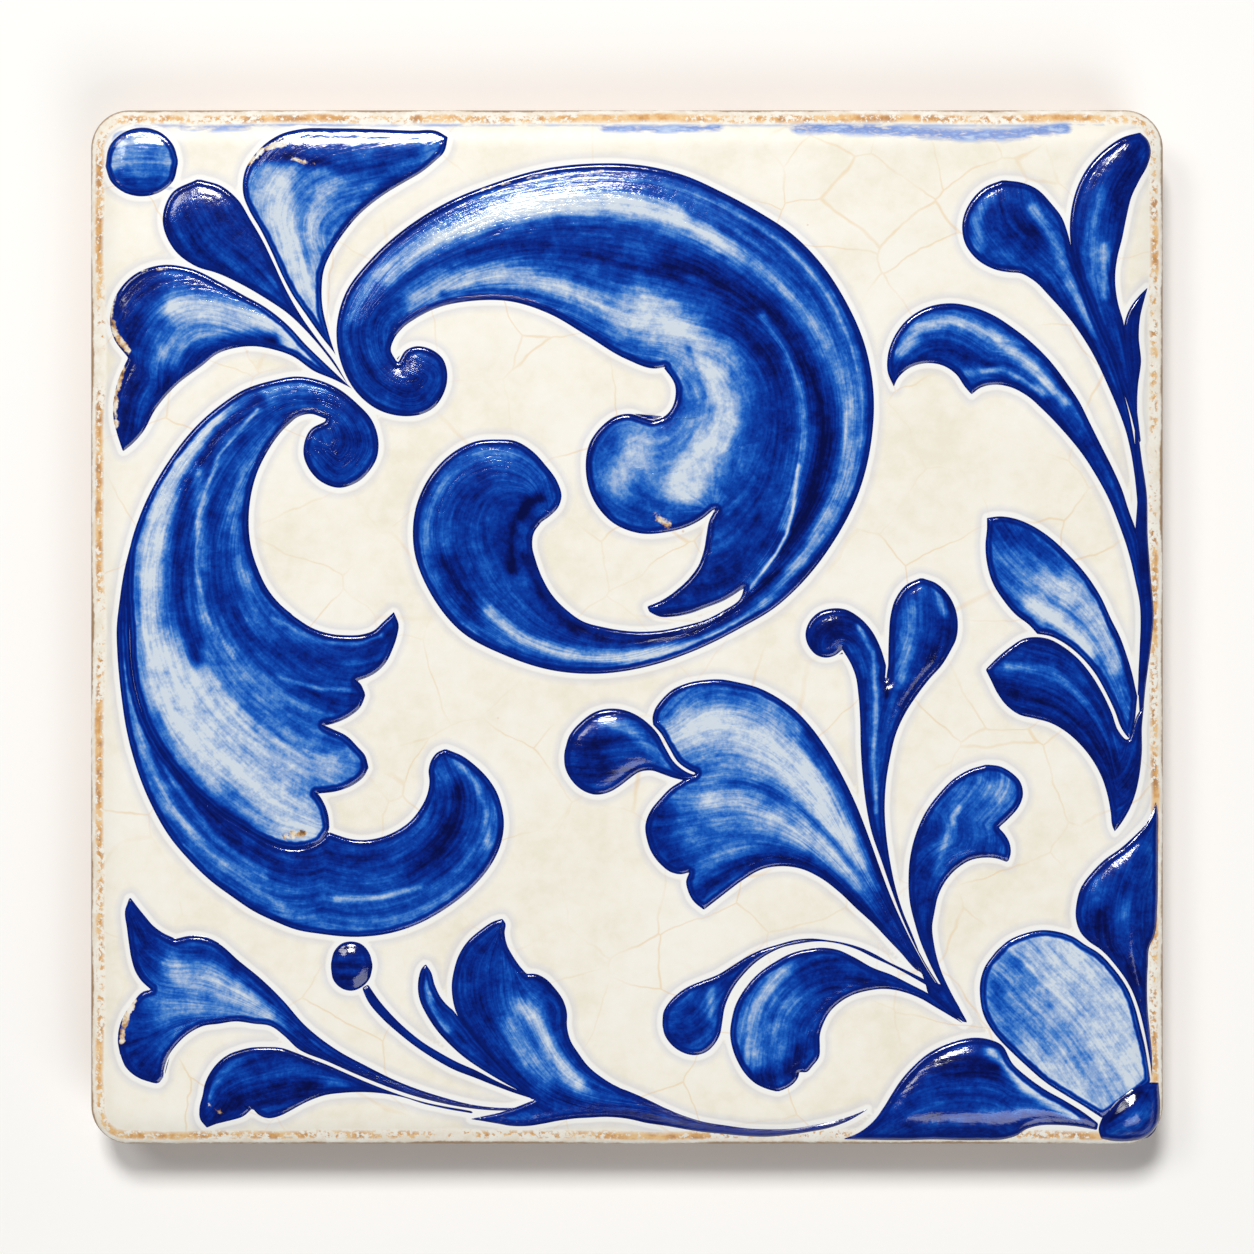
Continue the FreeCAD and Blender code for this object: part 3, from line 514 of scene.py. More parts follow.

# Brush strokes over the wash, with the painted highlights and painted shade marked below among them: group,
# tone, half width and the line they follow.
BRUSHWORK = [
    # A painted highlight: the pale arc round the top of the corner ball.
    ("corner_ball", 0.82, 1.0, [-66.8, 59.5, -66.2, 62.6, -63.5, 64.2, -60.5, 63.6]),
    ("corner_ball", 0.3, 0.9, [-66, 58.5, -63.5, 57.2, -61, 57.8]),
    ("palmette_drop", 0.4, 0.8, [-54.5, 50.5, -49, 46, -43.5, 40.2, -40, 36]),
    ("palmette_drop", 0.36, 0.9, [-58.4, 53.5, -56.8, 55.6]),
    ("palmette_upper", 1.0, 2.4, [-40.6, 41.5, -43, 47.5, -45.3, 54, -45.5, 58]),
    ("palmette_upper", 0.84, 1.5, [-40.2, 42, -41.2, 48, -41, 54, -38.5, 58.5]),
    ("palmette_upper", 0.34, 1.4, [-46, 63, -40, 62.4, -34, 60.6, -28, 61.5]),
    ("palmette_upper", 0.1, 0.9, [-48, 61, -44.5, 61.3, -41, 60.6, -37, 60.2]),
    ("palmette_upper", 0.3, 1.1, [-38.7, 44, -37.8, 49.4, -34.5, 54.3, -30.5, 58]),
    ("palmette_upper", 0.62, 0.6, [-39.6, 46, -38, 52.5, -33.5, 57.5, -28, 60.6]),
    ("palmette_upper", 0.4, 1.2, [-37, 60.5, -31, 60.8]),
    ("palmette_left", 0.98, 2.1, [-40.5, 35.4, -46.5, 38.9, -53, 40.8, -58.5, 41.4]),
    ("palmette_left", 0.72, 1.6, [-52, 38.8, -57, 37.8, -60, 35.5]),
    ("palmette_left", 0.12, 1.8, [-62.5, 45, -65.3, 42, -65.2, 38.5]),
    ("palmette_left", 0.14, 1.6, [-64.2, 33.5, -65, 28, -64.8, 25]),
    ("palmette_left", 0.2, 0.9, [-46, 37.2, -51, 37.5, -56, 35, -61, 30.5]),
    ("left_leaf", 0.2, 2.6, [-37.5, 22.5, -36.5, 24.5]),
    ("left_leaf", 0.3, 1.6, [-35, 27.5, -39, 30.2, -44, 30]),
    ("left_leaf", 0.62, 0.9, [-40, 31.2, -46, 31, -52, 28.2]),
    ("left_leaf", 0.99, 1.9, [-53, 27.2, -58, 21.2, -60.7, 15, -62, 8, -62.2, 0, -61.3, -7, -58, -13.5,
                              -53.5, -19]),
    ("left_leaf", 0.98, 3.5, [-60, -4, -56.5, -11, -51.5, -17, -46, -22.5, -42, -26]),
    ("left_leaf", 0.9, 3.0, [-55, -8, -49.5, -13.5, -43.5, -17, -38, -18]),
    ("left_leaf", 0.62, 1.5, [-56, 3, -51.5, -4.5, -46.5, -9, -40.5, -10.3]),
    ("left_leaf", 0.16, 0.9, [-48, 29.8, -53, 25.2, -57, 18.5, -58.6, 11, -58.4, 3, -56, -4]),
    ("left_leaf", 0.28, 1.0, [-45, 28.7, -49.8, 24, -53.2, 18, -54.1, 12, -53.2, 5, -49.5, -1,
                              -43.5, -4.5, -38, -4.6]),
    ("left_leaf", 0.6, 0.8, [-46, 25.8, -50, 20, -51.3, 14, -50.5, 8, -47.5, 3.8, -42, 0]),
    ("left_leaf", 0.62, 0.8, [-55.6, 20, -55.4, 14, -55, 8]),
    ("left_leaf", 0.8, 0.3, [-48, 28.3, -53, 22.5, -55.7, 15, -56, 8, -54.8, 1.5, -51, -4]),
    ("left_leaf", 0.2, 1.1, [-45, -2.5, -38, -3.8, -33, -3, -31, -0.6]),
    ("left_leaf", 0.72, 0.35, [-46, 1.2, -40, -1.9, -35, -2.2, -32, -1]),
    ("left_leaf", 0.28, 1.3, [-43, -8, -39, -9.2, -35.8, -9.4]),
    ("left_leaf", 0.66, 0.3, [-45, -6.6, -40, -8, -36, -8.1]),
    ("left_leaf", 0.7, 0.9, [-42, -15, -38, -15.5, -35.6, -17]),
    ("left_leaf", 0.4, 0.6, [-44, -12.5, -40, -14.2, -37, -15.2]),
    ("left_leaf", 0.6, 0.4, [-55, -3, -50, -10, -44, -14.8, -39, -16.5]),
    ("left_tail", 0.2, 1.6, [-60.5, -17, -56, -23.5, -50, -28.6, -44, -31.3, -38, -31, -32, -30]),
    ("left_tail", 0.72, 0.7, [-65.2, 0, -64.9, -8, -63, -15.5, -59.6, -23, -55, -29, -50, -33, -45, -36]),
    ("left_tail", 0.55, 0.5, [-63, -12, -59, -20, -53.5, -27.5, -47, -32.5]),
    ("left_tail", 0.62, 0.9, [-44, -37.3, -38, -38.5, -31, -38.2, -26, -36.2, -22, -33.8]),
    ("left_tail", 0.84, 0.45, [-38, -35.3, -32, -35.1, -26.8, -33.8]),
    ("left_tail", 0.14, 2.2, [-27, -30.5, -23.5, -27.5, -22, -22]),
    ("left_tail", 0.66, 0.5, [-22.5, -17.2, -19.6, -20.2, -18.3, -24, -18.1, -28.5]),
    ("big_scroll", 0.2, 3.2, [-28.3, 31.5]),
    ("big_scroll", 0.3, 1.5, [-32, 31, -34.5, 34.5, -35, 38.5]),
    ("big_scroll", 0.66, 0.5, [-36, 40, -32.8, 45.6, -27.3, 50.3, -22.3, 53.4, -16.6, 55.9, -11, 57.6,
                               -4, 58.5,
                               2, 58.2, 7.2, 56.9, 12, 54.9, 16.5, 52.4, 20.4, 49.6, 24, 46, 27, 41.4,
                               29.3, 36, 30.4, 30, 30.3, 25, 28.7, 18, 25.6, 12, 20.8, 6]),
    ("big_scroll", 0.96, 1.6, [-30.5, 45, -24.5, 50.3, -17.5, 53.2, -10, 54.8, -3, 55, 4, 53.9, 10, 51.4,
                               15, 48.2]),
    ("big_scroll", 0.74, 1.3, [15, 48.2, 20, 44.5, 24, 40, 27, 34.7, 28.9, 29, 28.9, 23, 27.6, 17.5,
                               25, 12.2]),
    ("big_scroll", 1.0, 0.8, [-17, 54.2, -8, 55.8, 0, 55.4, 7, 53.2]),
    ("big_scroll", 0.45, 0.6, [8, 54.4, 14, 51, 19.5, 46.6, 23.5, 41.8]),
    ("big_scroll", 0.27, 1.1, [-34, 38, -31.5, 42.6, -26.5, 46.6, -20.5, 48.9, -15, 49.6, -9.5, 49.4,
                               -3.5, 48.2,
                               2, 46.7, 6.5, 45.4]),
    ("big_scroll", 0.86, 1.6, [-27.5, 42.6, -22, 44.8, -16, 45.6, -10, 44.5, -4, 41.7, 1, 38.9, 6, 37]),
    ("big_scroll", 0.5, 0.5, [-24, 43.2, -17, 43.7, -10.5, 42.4, -4, 39, 1, 36, 5, 35]),
    ("big_scroll", 0.93, 3.2, [2, 41, 7.5, 38, 11, 34, 12, 28.5, 10.5, 22.5, 7, 18]),
    ("big_scroll", 0.88, 3.2, [-1, 19.5, 2, 23.5]),
    ("big_scroll", 0.46, 1.3, [-3.5, 16, 0.5, 13.9, 5, 13.6, 9, 14.6]),
    ("big_scroll", 0.93, 1.6, [9, 25, 7.5, 19]),
    ("big_scroll", 0.6, 0.5, [8, 36, 10, 30, 8, 24.5, 3, 19]),
    ("big_scroll", 0.06, 1.6, [5.5, 47.3, 11, 45.8, 16, 42.3, 20, 38.3, 23, 33.8, 25.2, 29, 26, 24.5,
                               25.2, 19.5,
                               22.8, 14, 20, 9.8]),
    ("big_scroll", 0.24, 2.0, [13.5, 41.5, 17.8, 36, 20, 29.5, 19.8, 22.5, 17.5, 15.5, 14, 9, 9.5, 4.5,
                               5, 2.4]),
    ("big_scroll", 0.62, 0.6, [17.5, 40.3, 20.6, 36, 22.6, 30.5, 23, 25, 22.3, 19, 20.4, 13]),
    ("big_scroll", 0.98, 0.26, [15.9, 4.9, 17.4, 6.8, 19.3, 9.4, 20.7, 12, 21.5, 15, 21.9, 18.2, 22.3, 21]),
    ("big_scroll", 0.3, 1.1, [28.5, 14.5, 24.5, 8, 20, 4.2]),
    ("big_scroll", 0.78, 0.7, [26.5, 15, 23, 9, 18.3, 3.6, 12.5, -0.5, 6.5, -2.6, 0, -3.6, -6, -3.5,
                               -12, -2, -17, 1.2,
                               -20.3, 5.5]),
    ("big_scroll", 0.1, 0.8, [19.5, 7, 14, 1.9, 8, -0.9, 2, -1.8, -3, -1.4, -7.5, 0.4, -11.2, 4.4, -13.4, 9]),
    ("big_scroll", 0.88, 0.8, [8, -2.9, 0, -4.1, -8, -3.7, -14, -1.5, -18, 2.3]),
    ("big_scroll", 0.6, 0.8, [-20, -0.2, -24, 3.6, -26.2, 9, -26, 14.5, -23.6, 19.2, -19.5, 22.2, -15, 22.4]),
    ("big_scroll", 0.1, 1.8, [-23, 8, -20.5, 3]),
    ("big_scroll", 0.3, 3.2, [-19.5, 17, -17.5, 11]),
    ("big_scroll", 0.42, 1.2, [-13, 21, -11, 17.5]),
    # Painted shade as well as a drawn line: the near-black band in the notch inside the curl.
    ("big_scroll", 0.0, 0.8, [-14.8, 7.6, -15.2, 11, -14.6, 13.7, -13, 15.9, -11.3, 16.8]),
    ("upper_drop", 0.2, 2.6, [51, 52.5, 53, 50]),
    ("upper_drop", 0.62, 0.8, [45.8, 49.5, 45.3, 53, 47.3, 56]),
    ("upper_drop", 0.7, 0.8, [52.8, 54.5, 55.8, 49.5, 57.8, 44.5, 60.5, 38]),
    ("upper_drop", 0.2, 0.6, [53, 46.3, 57, 42, 60.5, 37]),
    ("blade_leaf", 0.66, 0.9, [61.2, 44.5, 60.3, 51, 61.5, 56.5]),
    ("blade_leaf", 0.82, 0.6, [62, 43, 62, 49.5]),
    ("blade_leaf", 0.12, 1.4, [66, 62, 64.3, 58, 63.4, 53.5]),
    ("scallop_leaf", 0.85, 0.9, [35.5, 35.5, 38, 38.8, 42.3, 39.9, 47.5, 38, 52.5, 34, 56.5, 29.3]),
    ("scallop_leaf", 0.22, 1.0, [36, 33.8, 40, 36, 45, 34.5, 50, 33.3, 55, 29, 59.5, 23, 63, 16]),
    ("scallop_leaf", 0.7, 0.5, [44, 33, 49, 33.5, 54, 30.5]),
    ("double_upper", 0.88, 1.7, [54.5, 5.6, 59, 3.8, 62, -0.5, 63.6, -4.5]),
    ("double_upper", 0.96, 1.3, [52.5, 3, 57, 0.6, 60, -3]),
    ("double_upper", 0.84, 1.0, [56.5, 7.6, 60, 4, 62.4, 0]),
    ("double_upper", 0.3, 1.5, [48.2, 12.5, 52, 11.5, 56, 8.8]),
    ("double_upper", 0.3, 0.7, [63.2, 2.5, 64.7, -3, 65.7, -8.5]),
    ("double_lower", 0.62, 0.6, [49.5, -5, 55, -5.3, 60, -10, 63, -15.5]),
    ("double_lower", 0.14, 1.5, [49, -8.5, 55, -9.8, 60, -13.5, 64.5, -20]),
    ("central_curl", 0.16, 3.0, [-4.5, -15.5, -4, -18.5]),
    ("central_curl", 0.66, 0.8, [-3.5, -12.2, 0, -13, 2.5, -15.3, 5, -18]),
    ("central_curl", 0.4, 0.9, [-1, -17, 3, -17.8]),
    ("central_leaf", 1.0, 3.1, [7, -13.5, 12.5, -12.2, 18, -14.5, 22.5, -18.8, 26.5, -25, 29, -30]),
    ("central_leaf", 0.5, 1.1, [4.6, -11.8, 7, -9.2, 11, -8.2, 16, -9]),
    ("central_leaf", 0.66, 0.9, [20, -12, 25, -17.5, 29, -25]),
    ("central_leaf", 0.24, 0.9, [23.5, -14, 27.5, -19.8, 30.3, -25.8, 33, -32.5]),
    ("central_leaf", 0.45, 0.6, [13, -19.9, 18, -21, 23, -24.2, 27.5, -28.6, 31.5, -34]),
    ("central_leaf", 0.28, 1.8, [4.6, -23.5, 4.4, -28, 7, -30.7]),
    ("central_leaf", 0.9, 1.5, [10.5, -22.8, 15, -23, 20, -25.5, 25, -29.5, 29, -34]),
    ("central_leaf", 0.55, 1.4, [8, -27, 14, -26.8, 20, -28.6]),
    ("central_leaf", 0.13, 1.1, [9.5, -34.5, 13.5, -31.5, 18.5, -29.6, 23.5, -30.5, 28, -33.8, 33, -39]),
    ("central_leaf", 0.2, 1.4, [33, -35.5, 37, -42, 43, -50.5]),
    ("curl_stem", 0.16, 2.2, [25.6, -1, 27.5, 0.5]),
    ("curl_stem", 0.72, 0.35, [30, 0.2, 32, -3.5, 32.4, -9.5, 32, -17, 32.4, -24]),
    ("curl_stem", 0.2, 0.5, [30.8, -7, 31, -15, 31.6, -23]),
    ("curl_stem", 0.2, 1.2, [41.3, -0.5, 38.8, -5.5, 36.4, -9.8]),
    ("curl_stem", 0.62, 0.9, [37.2, 3, 36.4, -2, 35.8, -6.5]),
    ("curl_stem", 0.78, 0.45, [40.2, 5, 41.2, 1.8]),
    ("curl_stem", 0.02, 0.32, [33.9, -4.4, 33.7, -9]),
    ("heart_leaf", 0.64, 1.8, [44.5, -21.5, 48.5, -21, 49, -23.5]),
    ("heart_leaf", 0.76, 0.6, [43, -23.5, 41.3, -28, 40, -32]),
    ("heart_leaf", 0.24, 1.7, [39.2, -26, 38, -31, 38.3, -37, 40.3, -43.5, 43, -49.5]),
    ("heart_leaf", 0.3, 1.0, [44.5, -28.8, 48, -28.8]),
    ("lower_drop", 0.18, 1.8, [8, -53, 7.5, -50.5]),
    ("lower_drop", 0.62, 0.6, [11, -47.2, 10.9, -51]),
    ("lower_drop", 0.5, 0.4, [14, -45.3, 18, -42.3, 24, -40.7]),
    ("petal_leaf", 0.8, 1.3, [20, -44.8, 16.8, -48.5, 15.7, -52.5, 16.6, -56.5]),
    ("petal_leaf", 0.6, 1.3, [21.5, -48, 19, -52, 19.3, -56]),
    ("petal_leaf", 0.2, 1.6, [23.5, -44.3, 29, -44.8, 34, -46.2]),
    ("petal_leaf", 0.16, 1.4, [17.5, -58.7, 20.5, -58.2, 22.5, -55.5]),
    ("petal_leaf", 0.26, 1.0, [24, -54, 24.5, -50.5, 27, -47.3]),
    ("leaf_a", 0.24, 1.7, [-63.8, -37.5, -62.6, -40.5, -62, -43.5]),
    ("leaf_a", 0.22, 1.9, [-64, -51, -63.8, -55.5, -62, -57.8]),
    ("leaf_a", 0.88, 2.0, [-58.5, -44.5, -53.5, -45.8, -48.5, -48.6, -45, -50.5]),
    ("leaf_a", 0.74, 1.4, [-60, -49.5, -55.5, -49.3, -50.5, -49.9]),
    ("leaf_a", 0.3, 1.0, [-57.5, -41.8, -52.5, -43.2, -48, -46.8, -43.5, -51.3]),
    ("leaf_a", 0.2, 1.0, [-43, -53, -37, -56.8, -29, -59.8, -20, -62.3]),
    ("leaf_a", 0.55, 0.35, [-41, -53.6, -35, -57.2, -27, -60.6]),
    ("leaf_b", 0.56, 0.6, [-54.3, -61, -52.9, -58, -50, -56.3]),
    ("leaf_b", 0.5, 0.8, [-49.5, -58.5, -43, -57.8, -37, -59.4]),
    ("leaf_b", 0.1, 1.3, [-52.5, -62.5, -47, -61.5, -41, -60]),
    ("leaf_c", 0.26, 2.2, [-18, -41, -20, -46, -19.5, -50]),
    ("leaf_c", 0.92, 1.5, [-13.2, -49.5, -11.6, -51.5, -9.8, -55, -6, -59]),
    ("leaf_c", 0.7, 1.2, [-15.5, -51.5, -14, -54.5, -10.5, -58.5]),
    ("leaf_c", 0.3, 0.9, [-10.2, -47.8, -9.5, -51.5, -7.6, -55.5, -4, -59.5]),
    ("leaf_c", 0.2, 1.2, [-20.8, -50.8, -17, -56, -12.5, -61, -4, -63, 4, -64]),
    ("side_blade", 0.72, 0.5, [-26, -46, -25.6, -49, -23.3, -52.5]),
    ("side_blade", 0.25, 0.6, [-24.5, -49, -21.5, -53.5, -17, -57.8]),
    # A painted highlight: the palest strip just inside the lower petal's upper edge, where its glaze catches
    # the light.
    ("lower_petal", 1.0, 0.75, [47.2, -55.2, 49.3, -57.3, 51.4, -59.4, 53.8, -61.2, 56.5, -62.7,
                                58.5, -63.6]),
    ("pale_petal", 0.52, 1.8, [47.8, -46.5, 48.3, -49.5, 50.5, -53]),
    ("pale_petal", 0.68, 1.3, [51, -43.5, 51.2, -48.5, 54.5, -54.5]),
    ("pale_petal", 0.93, 2.6, [57, -43.5, 61.5, -49, 64.8, -55.5, 66, -60]),
    ("pale_petal", 0.98, 0.6, [52, -55.8, 56, -59.2, 61, -62.6]),
    ("pale_petal", 0.98, 0.6, [62.5, -44.5, 65, -48.8, 66.4, -53.5, 67.2, -58]),
    ("upper_petal", 0.6, 1.2, [64.2, -37]),
    ("upper_petal", 0.5, 1.0, [60.5, -33, 61.5, -38, 64.5, -43]),
    ("upper_petal", 0.12, 1.2, [61.5, -37.5, 63, -41.5, 66.2, -46]),
    ("lower_petal", 0.52, 1.0, [40, -64.5, 46, -63, 53, -62.8]),
    ("lower_petal", 0.12, 1.4, [36.5, -61, 41.5, -57.5, 47.5, -57.3]),
    ("boss", 0.04, 1.1, [62.4, -64, 64, -61.8, 66.5, -60.5]),
    ("boss", 0.5, 1.0, [65.5, -64.8, 67.5, -63.5]),
]

# Lines that the brush followed where several pads meet, from the outer side of the bend to the inner.
GUIDES = {
    "left_leaf": [
        [-41.2, 22.5, -37.6, 19, -33.4, 23, -36, 29.2, -43, 31.8, -52, 28.3, -60, 19.5, -64, 10, -64.2, 0,
         -62.5, -9, -58.5, -17, -52, -23.8, -45.5, -27.3, -41, -27.9],
        [-40, 22.6, -37.4, 20.5, -34.8, 23, -37, 28.3, -43.5, 29.6, -50.5, 26, -57, 18, -60, 9, -60, 0,
         -57.5, -8, -52.5, -15, -46, -20.7, -40, -24.8],
        [-38.9, 22.7, -37.3, 21.7, -36, 23, -37.8, 27.4, -43.5, 28.2, -49, 23.7, -54, 16, -56, 8, -55, 0,
         -51.5, -7, -46, -12.3, -40, -16, -35, -17.5],
        [-38, 23, -37.6, 25, -38.6, 26.9, -43, 27.3, -47.6, 22, -51, 15, -52, 8, -50.5, 2, -47, -3,
         -42, -7.1, -37, -9.2, -33.5, -9.4],
        [-38.4, 24.5, -39.5, 26.6, -42.6, 26.5, -46, 21.5, -48.9, 14, -48.3, 8, -46, 3.5, -42, -0.4,
         -37, -2.9, -33, -2.1, -30.3, 1.5],
    ],
    "big_scroll": [
        [-27.6, 35.5, -24.3, 33, -26.5, 28.8, -33, 30, -36.8, 38, -33, 46.5, -23.5, 53.9, -11.3, 58.4,
         2, 59, 12, 55.6, 21, 50.2, 28, 41.5, 31.2, 30, 29.6, 17.6, 21.6, 5.6, 8.7, -2, -4, -5.2,
         -15.5, -2.8, -25, 5, -26.8, 13, -23.5, 20.8, -16.8, 23.6, -10.5, 20, -9.4, 16.5],
        [-28, 34, -25.6, 32.5, -27.5, 30.2, -32, 31.8, -35, 38.3, -31.5, 44.8, -23, 51.3, -11, 55.3,
         2, 55.6, 11, 52.3, 19, 46.8, 25.3, 39, 28, 29.5, 27, 19, 20, 8, 8, -0.8, -3.8, -3.8, -13.8, -1.2,
         -22, 6.5, -23.8, 13, -21, 19, -16.5, 20.8, -12, 18.5, -11, 16],
        [-28.5, 33, -27.2, 32.3, -29, 32, -31.8, 34, -33, 39.5, -29.3, 43.5, -21.8, 48, -11, 51, 2, 50.3,
         10, 47.6, 17.5, 42.3, 22.7, 35.5, 25, 28, 24.3, 20, 18.3, 8.3, 8, 0, -3.5, -2, -10.8, 1.2,
         -16.5, 8, -18, 13, -16, 17, -13, 17.2, -11.5, 15],
        [-29.4, 34.3, -31, 36, -31, 38.8, -27, 41.8, -20.5, 45.5, -11, 47, 0, 44.8, 8, 43.3, 15, 40.5,
         20, 35.5, 22, 28, 21.6, 20.5, 18.5, 11, 14, 5.2, 3, 2.1],
        [-29.5, 34.6, -30.6, 36, -29.5, 38.6, -25, 41.8, -15.5, 43.2, -8, 41.5, 0, 38.2, 7.5, 37.5,
         13.5, 36, 17.3, 31, 17.8, 26, 15, 19, 11.3, 15],
        [-29.8, 34.8, -30.3, 36.2, -28, 39.8, -22, 42.4, -15, 42.5, -8, 39.8, 0, 35.2, 5, 33.8, 7, 29.5,
         4.5, 25.5, -1, 26, -3.8, 21.5, -1.5, 16.5, 4, 14.5, 10.5, 15],
    ],
    "central_leaf": [
        [5, -11.5, 9, -7.9, 14.5, -7.9, 21, -11.2, 26, -17.3, 30, -25.5, 33, -33, 38, -43, 43.7, -51.4],
        [6, -14.5, 11, -12, 16, -12.3, 21, -16, 25.5, -21.5, 29, -28.5, 32.5, -34.8, 37.5, -43.2,
         43.6, -51.5],
        [9, -19, 14, -18.6, 19, -20, 24, -23.8, 28, -28.3, 32, -34.5, 37, -43, 43.5, -51.6],
        [5, -23, 9, -22.8, 15, -22.3, 20.5, -24.6, 26, -29.4, 31, -35, 36.5, -43, 43.4, -51.7],
        [5.5, -29, 11, -27.6, 16.5, -27, 21.5, -28.3, 27, -32.2, 31.5, -36.8, 36.5, -43.6, 43.3, -51.8],
        [10, -35.8, 14.5, -32.6, 19, -30.8, 24, -31.3, 29, -35.2, 33, -39.3, 37, -44.2, 43.2, -51.9],
    ],
    "leaf_a": [
        [-64.6, -35.6, -62.4, -38.4, -58.9, -41.3, -54, -41.8, -49.5, -45, -44.5, -49.4, -38, -55.2,
         -30, -59.3, -20, -62.1, -12, -62.2],
        [-64.8, -38, -63.5, -42, -60.5, -44.5, -55, -44.8, -50, -47.3, -45, -50.6, -38.5, -55.7,
         -30, -59.6, -20, -62.3, -12, -62.3],
        [-64.2, -43, -61.6, -47, -57, -48, -51.5, -49, -46, -51.2, -39, -56, -30, -59.8, -20, -62.5,
         -12, -62.4],
        [-65.8, -52.5, -63, -52.5, -58, -51, -52.5, -50.6, -47, -51.6, -40, -56, -30, -60.1,
         -20, -62.6, -12, -62.5],
        [-63, -58.8, -61.5, -56.5, -59.3, -53.8, -55.5, -51.7, -50.5, -51.3, -45.5, -52.5, -40, -56.2,
         -30, -60.4, -20, -62.8, -12, -62.6],
    ],
    "leaf_c": [
        [-16.8, -38.5, -21.5, -43, -22, -48, -19, -53.5, -14, -59.5, -8, -62.9, 0, -63.6, 10, -65.4,
         20, -66, 31, -62.8],
        [-16.5, -39.5, -18.5, -44, -18.5, -49, -15.5, -54.5, -11, -59.8, -5, -62.2, 2, -62.8, 10, -65,
         20, -65.8, 31, -62.8],
        [-16, -40, -15, -45, -14.5, -49, -12, -54, -8.2, -59, -3.5, -61, 3, -62.3, 10, -64.7, 20, -65.6,
         31, -62.7],
        [-15.9, -40.5, -13.5, -46, -9.2, -49, -8.6, -53, -5, -58, -1, -60.3, 4, -62.3, 10, -64.5,
         20, -65.4, 31, -62.7],
    ],
}

# Thin smears of blue on the rim: strength, half width and the line they follow.
SMEARS = [
    (1.0, 0.95, [22, 65, 30, 64.8, 38, 64.4, 44, 64.0, 50, 64.1, 57, 64.9]),
    (0.9, 0.6, [-3, 64.9, 4, 64.7, 12, 65]),
    (0.8, 0.6, [-58, 65.1, -54, 64.8, -49, 65.1]),
    (0.7, 0.3, [-67.2, 62, -66.6, 64, -64, 65.2, -45, 65.3, -20, 65.3]),
    (0.55, 0.28, [-20, 65.3, 20, 65.3, 62, 65.4]),
    (0.8, 0.4, [-60.2, 57.3, -59.2, 57.0]),
]

# Where the paint is worn to ochre and white: group, strength, half width and line.
WORN = [
    ("palmette_left", 1.0, 0.6, [-66.7, 44.2, -67.2, 41, -66.5, 38, -64.8, 35.9]),
    ("palmette_left", 0.95, 0.5, [-65.4, 34, -66.5, 30, -66.5, 26]),
    ("palmette_left", 0.7, 0.4, [-63.5, 46.4, -59.5, 46.5]),
    ("palmette_upper", 1.0, 0.6, [-49.2, 60.4, -47.2, 62.2, -44.5, 62.9]),
    ("palmette_upper", 0.75, 0.5, [-43.5, 60.9, -40.5, 60.2]),
    ("palmette_upper", 0.6, 0.5, [-38, 63.6, -34, 62.6]),
    ("leaf_a", 0.95, 0.6, [-64.2, -48.6, -65.2, -51, -65.8, -54]),
    ("leaf_a", 0.6, 0.4, [-66, -37, -65.8, -41]),
    ("left_leaf", 0.85, 0.8, [-44.5, -27.2, -42, -26.8]),
    ("big_scroll", 0.75, 0.9, [4, 14.4, 5.4, 13]),
    ("big_scroll", 0.7, 0.35, [-19, 56.8, -12, 58.6, -3, 59.2]),
    ("leaf_b", 0.6, 0.5, [-54.5, -62, -52, -63.5]),
]

# Height of the dome of a group's strokes and the distance over which it rises, mm.
DOMES = {
    "big_scroll": (0.52, 4.4), "left_leaf": (0.36, 4.2), "left_tail": (0.34, 3.4), "boss": (1.05, 2.0),
    "upper_petal": (0.75, 2.05), "lower_petal": (0.75, 2.05), "central_leaf": (0.3, 3.6),
    "pale_petal": (0.26, 4.0), "stem_joint": (0.26, 0.9),
    "palmette_drop": (0.34, 2.4), "upper_drop": (0.34, 2.4), "blade_leaf": (0.34, 2.2),
    "berry": (0.5, 1.2), "central_curl": (0.58, 2.2), "curl_stem": (0.42, 1.9),
}

# The wash from the thickest pigment, nearly black, to the thinnest, where the glaze shows through.
PAINT_STOPS = [
    (0.0, "#010A48"), (0.12, "#021564"), (0.26, "#022789"), (0.42, "#0640A6"), (0.56, "#1B60C2"),
    (0.69, "#4F87D0"), (0.82, "#93AFDA"), (0.92, "#B8CAE3"), (1.0, "#D3DDE8"),
]

# Short words for the kinds of shader node that are used most.
MATHS = "ShaderNodeMath"
RAMP = "ShaderNodeValToRGB"
NOISE = "ShaderNodeTexNoise"
CELLS = "ShaderNodeTexVoronoi"
STRETCH = "ShaderNodeMapping"
READ = "ShaderNodeAttribute"
BLEND = "ShaderNodeMix"


def face_level(x, y):
    """Level of the glazed face, mm: flat inside, then the wide arc and the tight arc of the rolled edge."""
    inward = inward_distance(x, y)
    wide = FACE_LEVEL - ROLL_RADIUS + np.sqrt(ROLL_RADIUS**2 - np.clip(CORNER_RADIUS - inward, 0, None) ** 2)
    tight = RIM_LEVEL + np.sqrt(np.clip(RIM_RADIUS**2 - (RIM_RADIUS - inward) ** 2, 0, None))
    return np.where(inward < ROLL_JOIN, tight, wide) + waviness(x, y)


def inward_distance(x, y):
    """Distance in from the tile's outline, mm, measured radially round the corners and never over 5."""
    over_x = np.clip(np.abs(x) - (HALF_WIDTH - CORNER_RADIUS), 0, None)
    over_y = np.clip(np.abs(y) - (HALF_DEPTH - CORNER_RADIUS), 0, None)
    return np.clip(CORNER_RADIUS - np.hypot(over_x, over_y), 0, CORNER_RADIUS)


def waviness(x, y):
    """The slow unevenness of a hand-pressed, hand-glazed face: a sum of a few long sine waves, mm."""
    slow = 0.10 * np.sin(x / 17 + 1.1) * np.sin(y / 21 + 0.4) + 0.05 * np.sin(x / 8.1 + y / 11.3)
    return 0.6 * slow + 0.03 * np.sin(x / 3.7 - y / 4.9) * np.sin(y / 3.1 + 0.7)


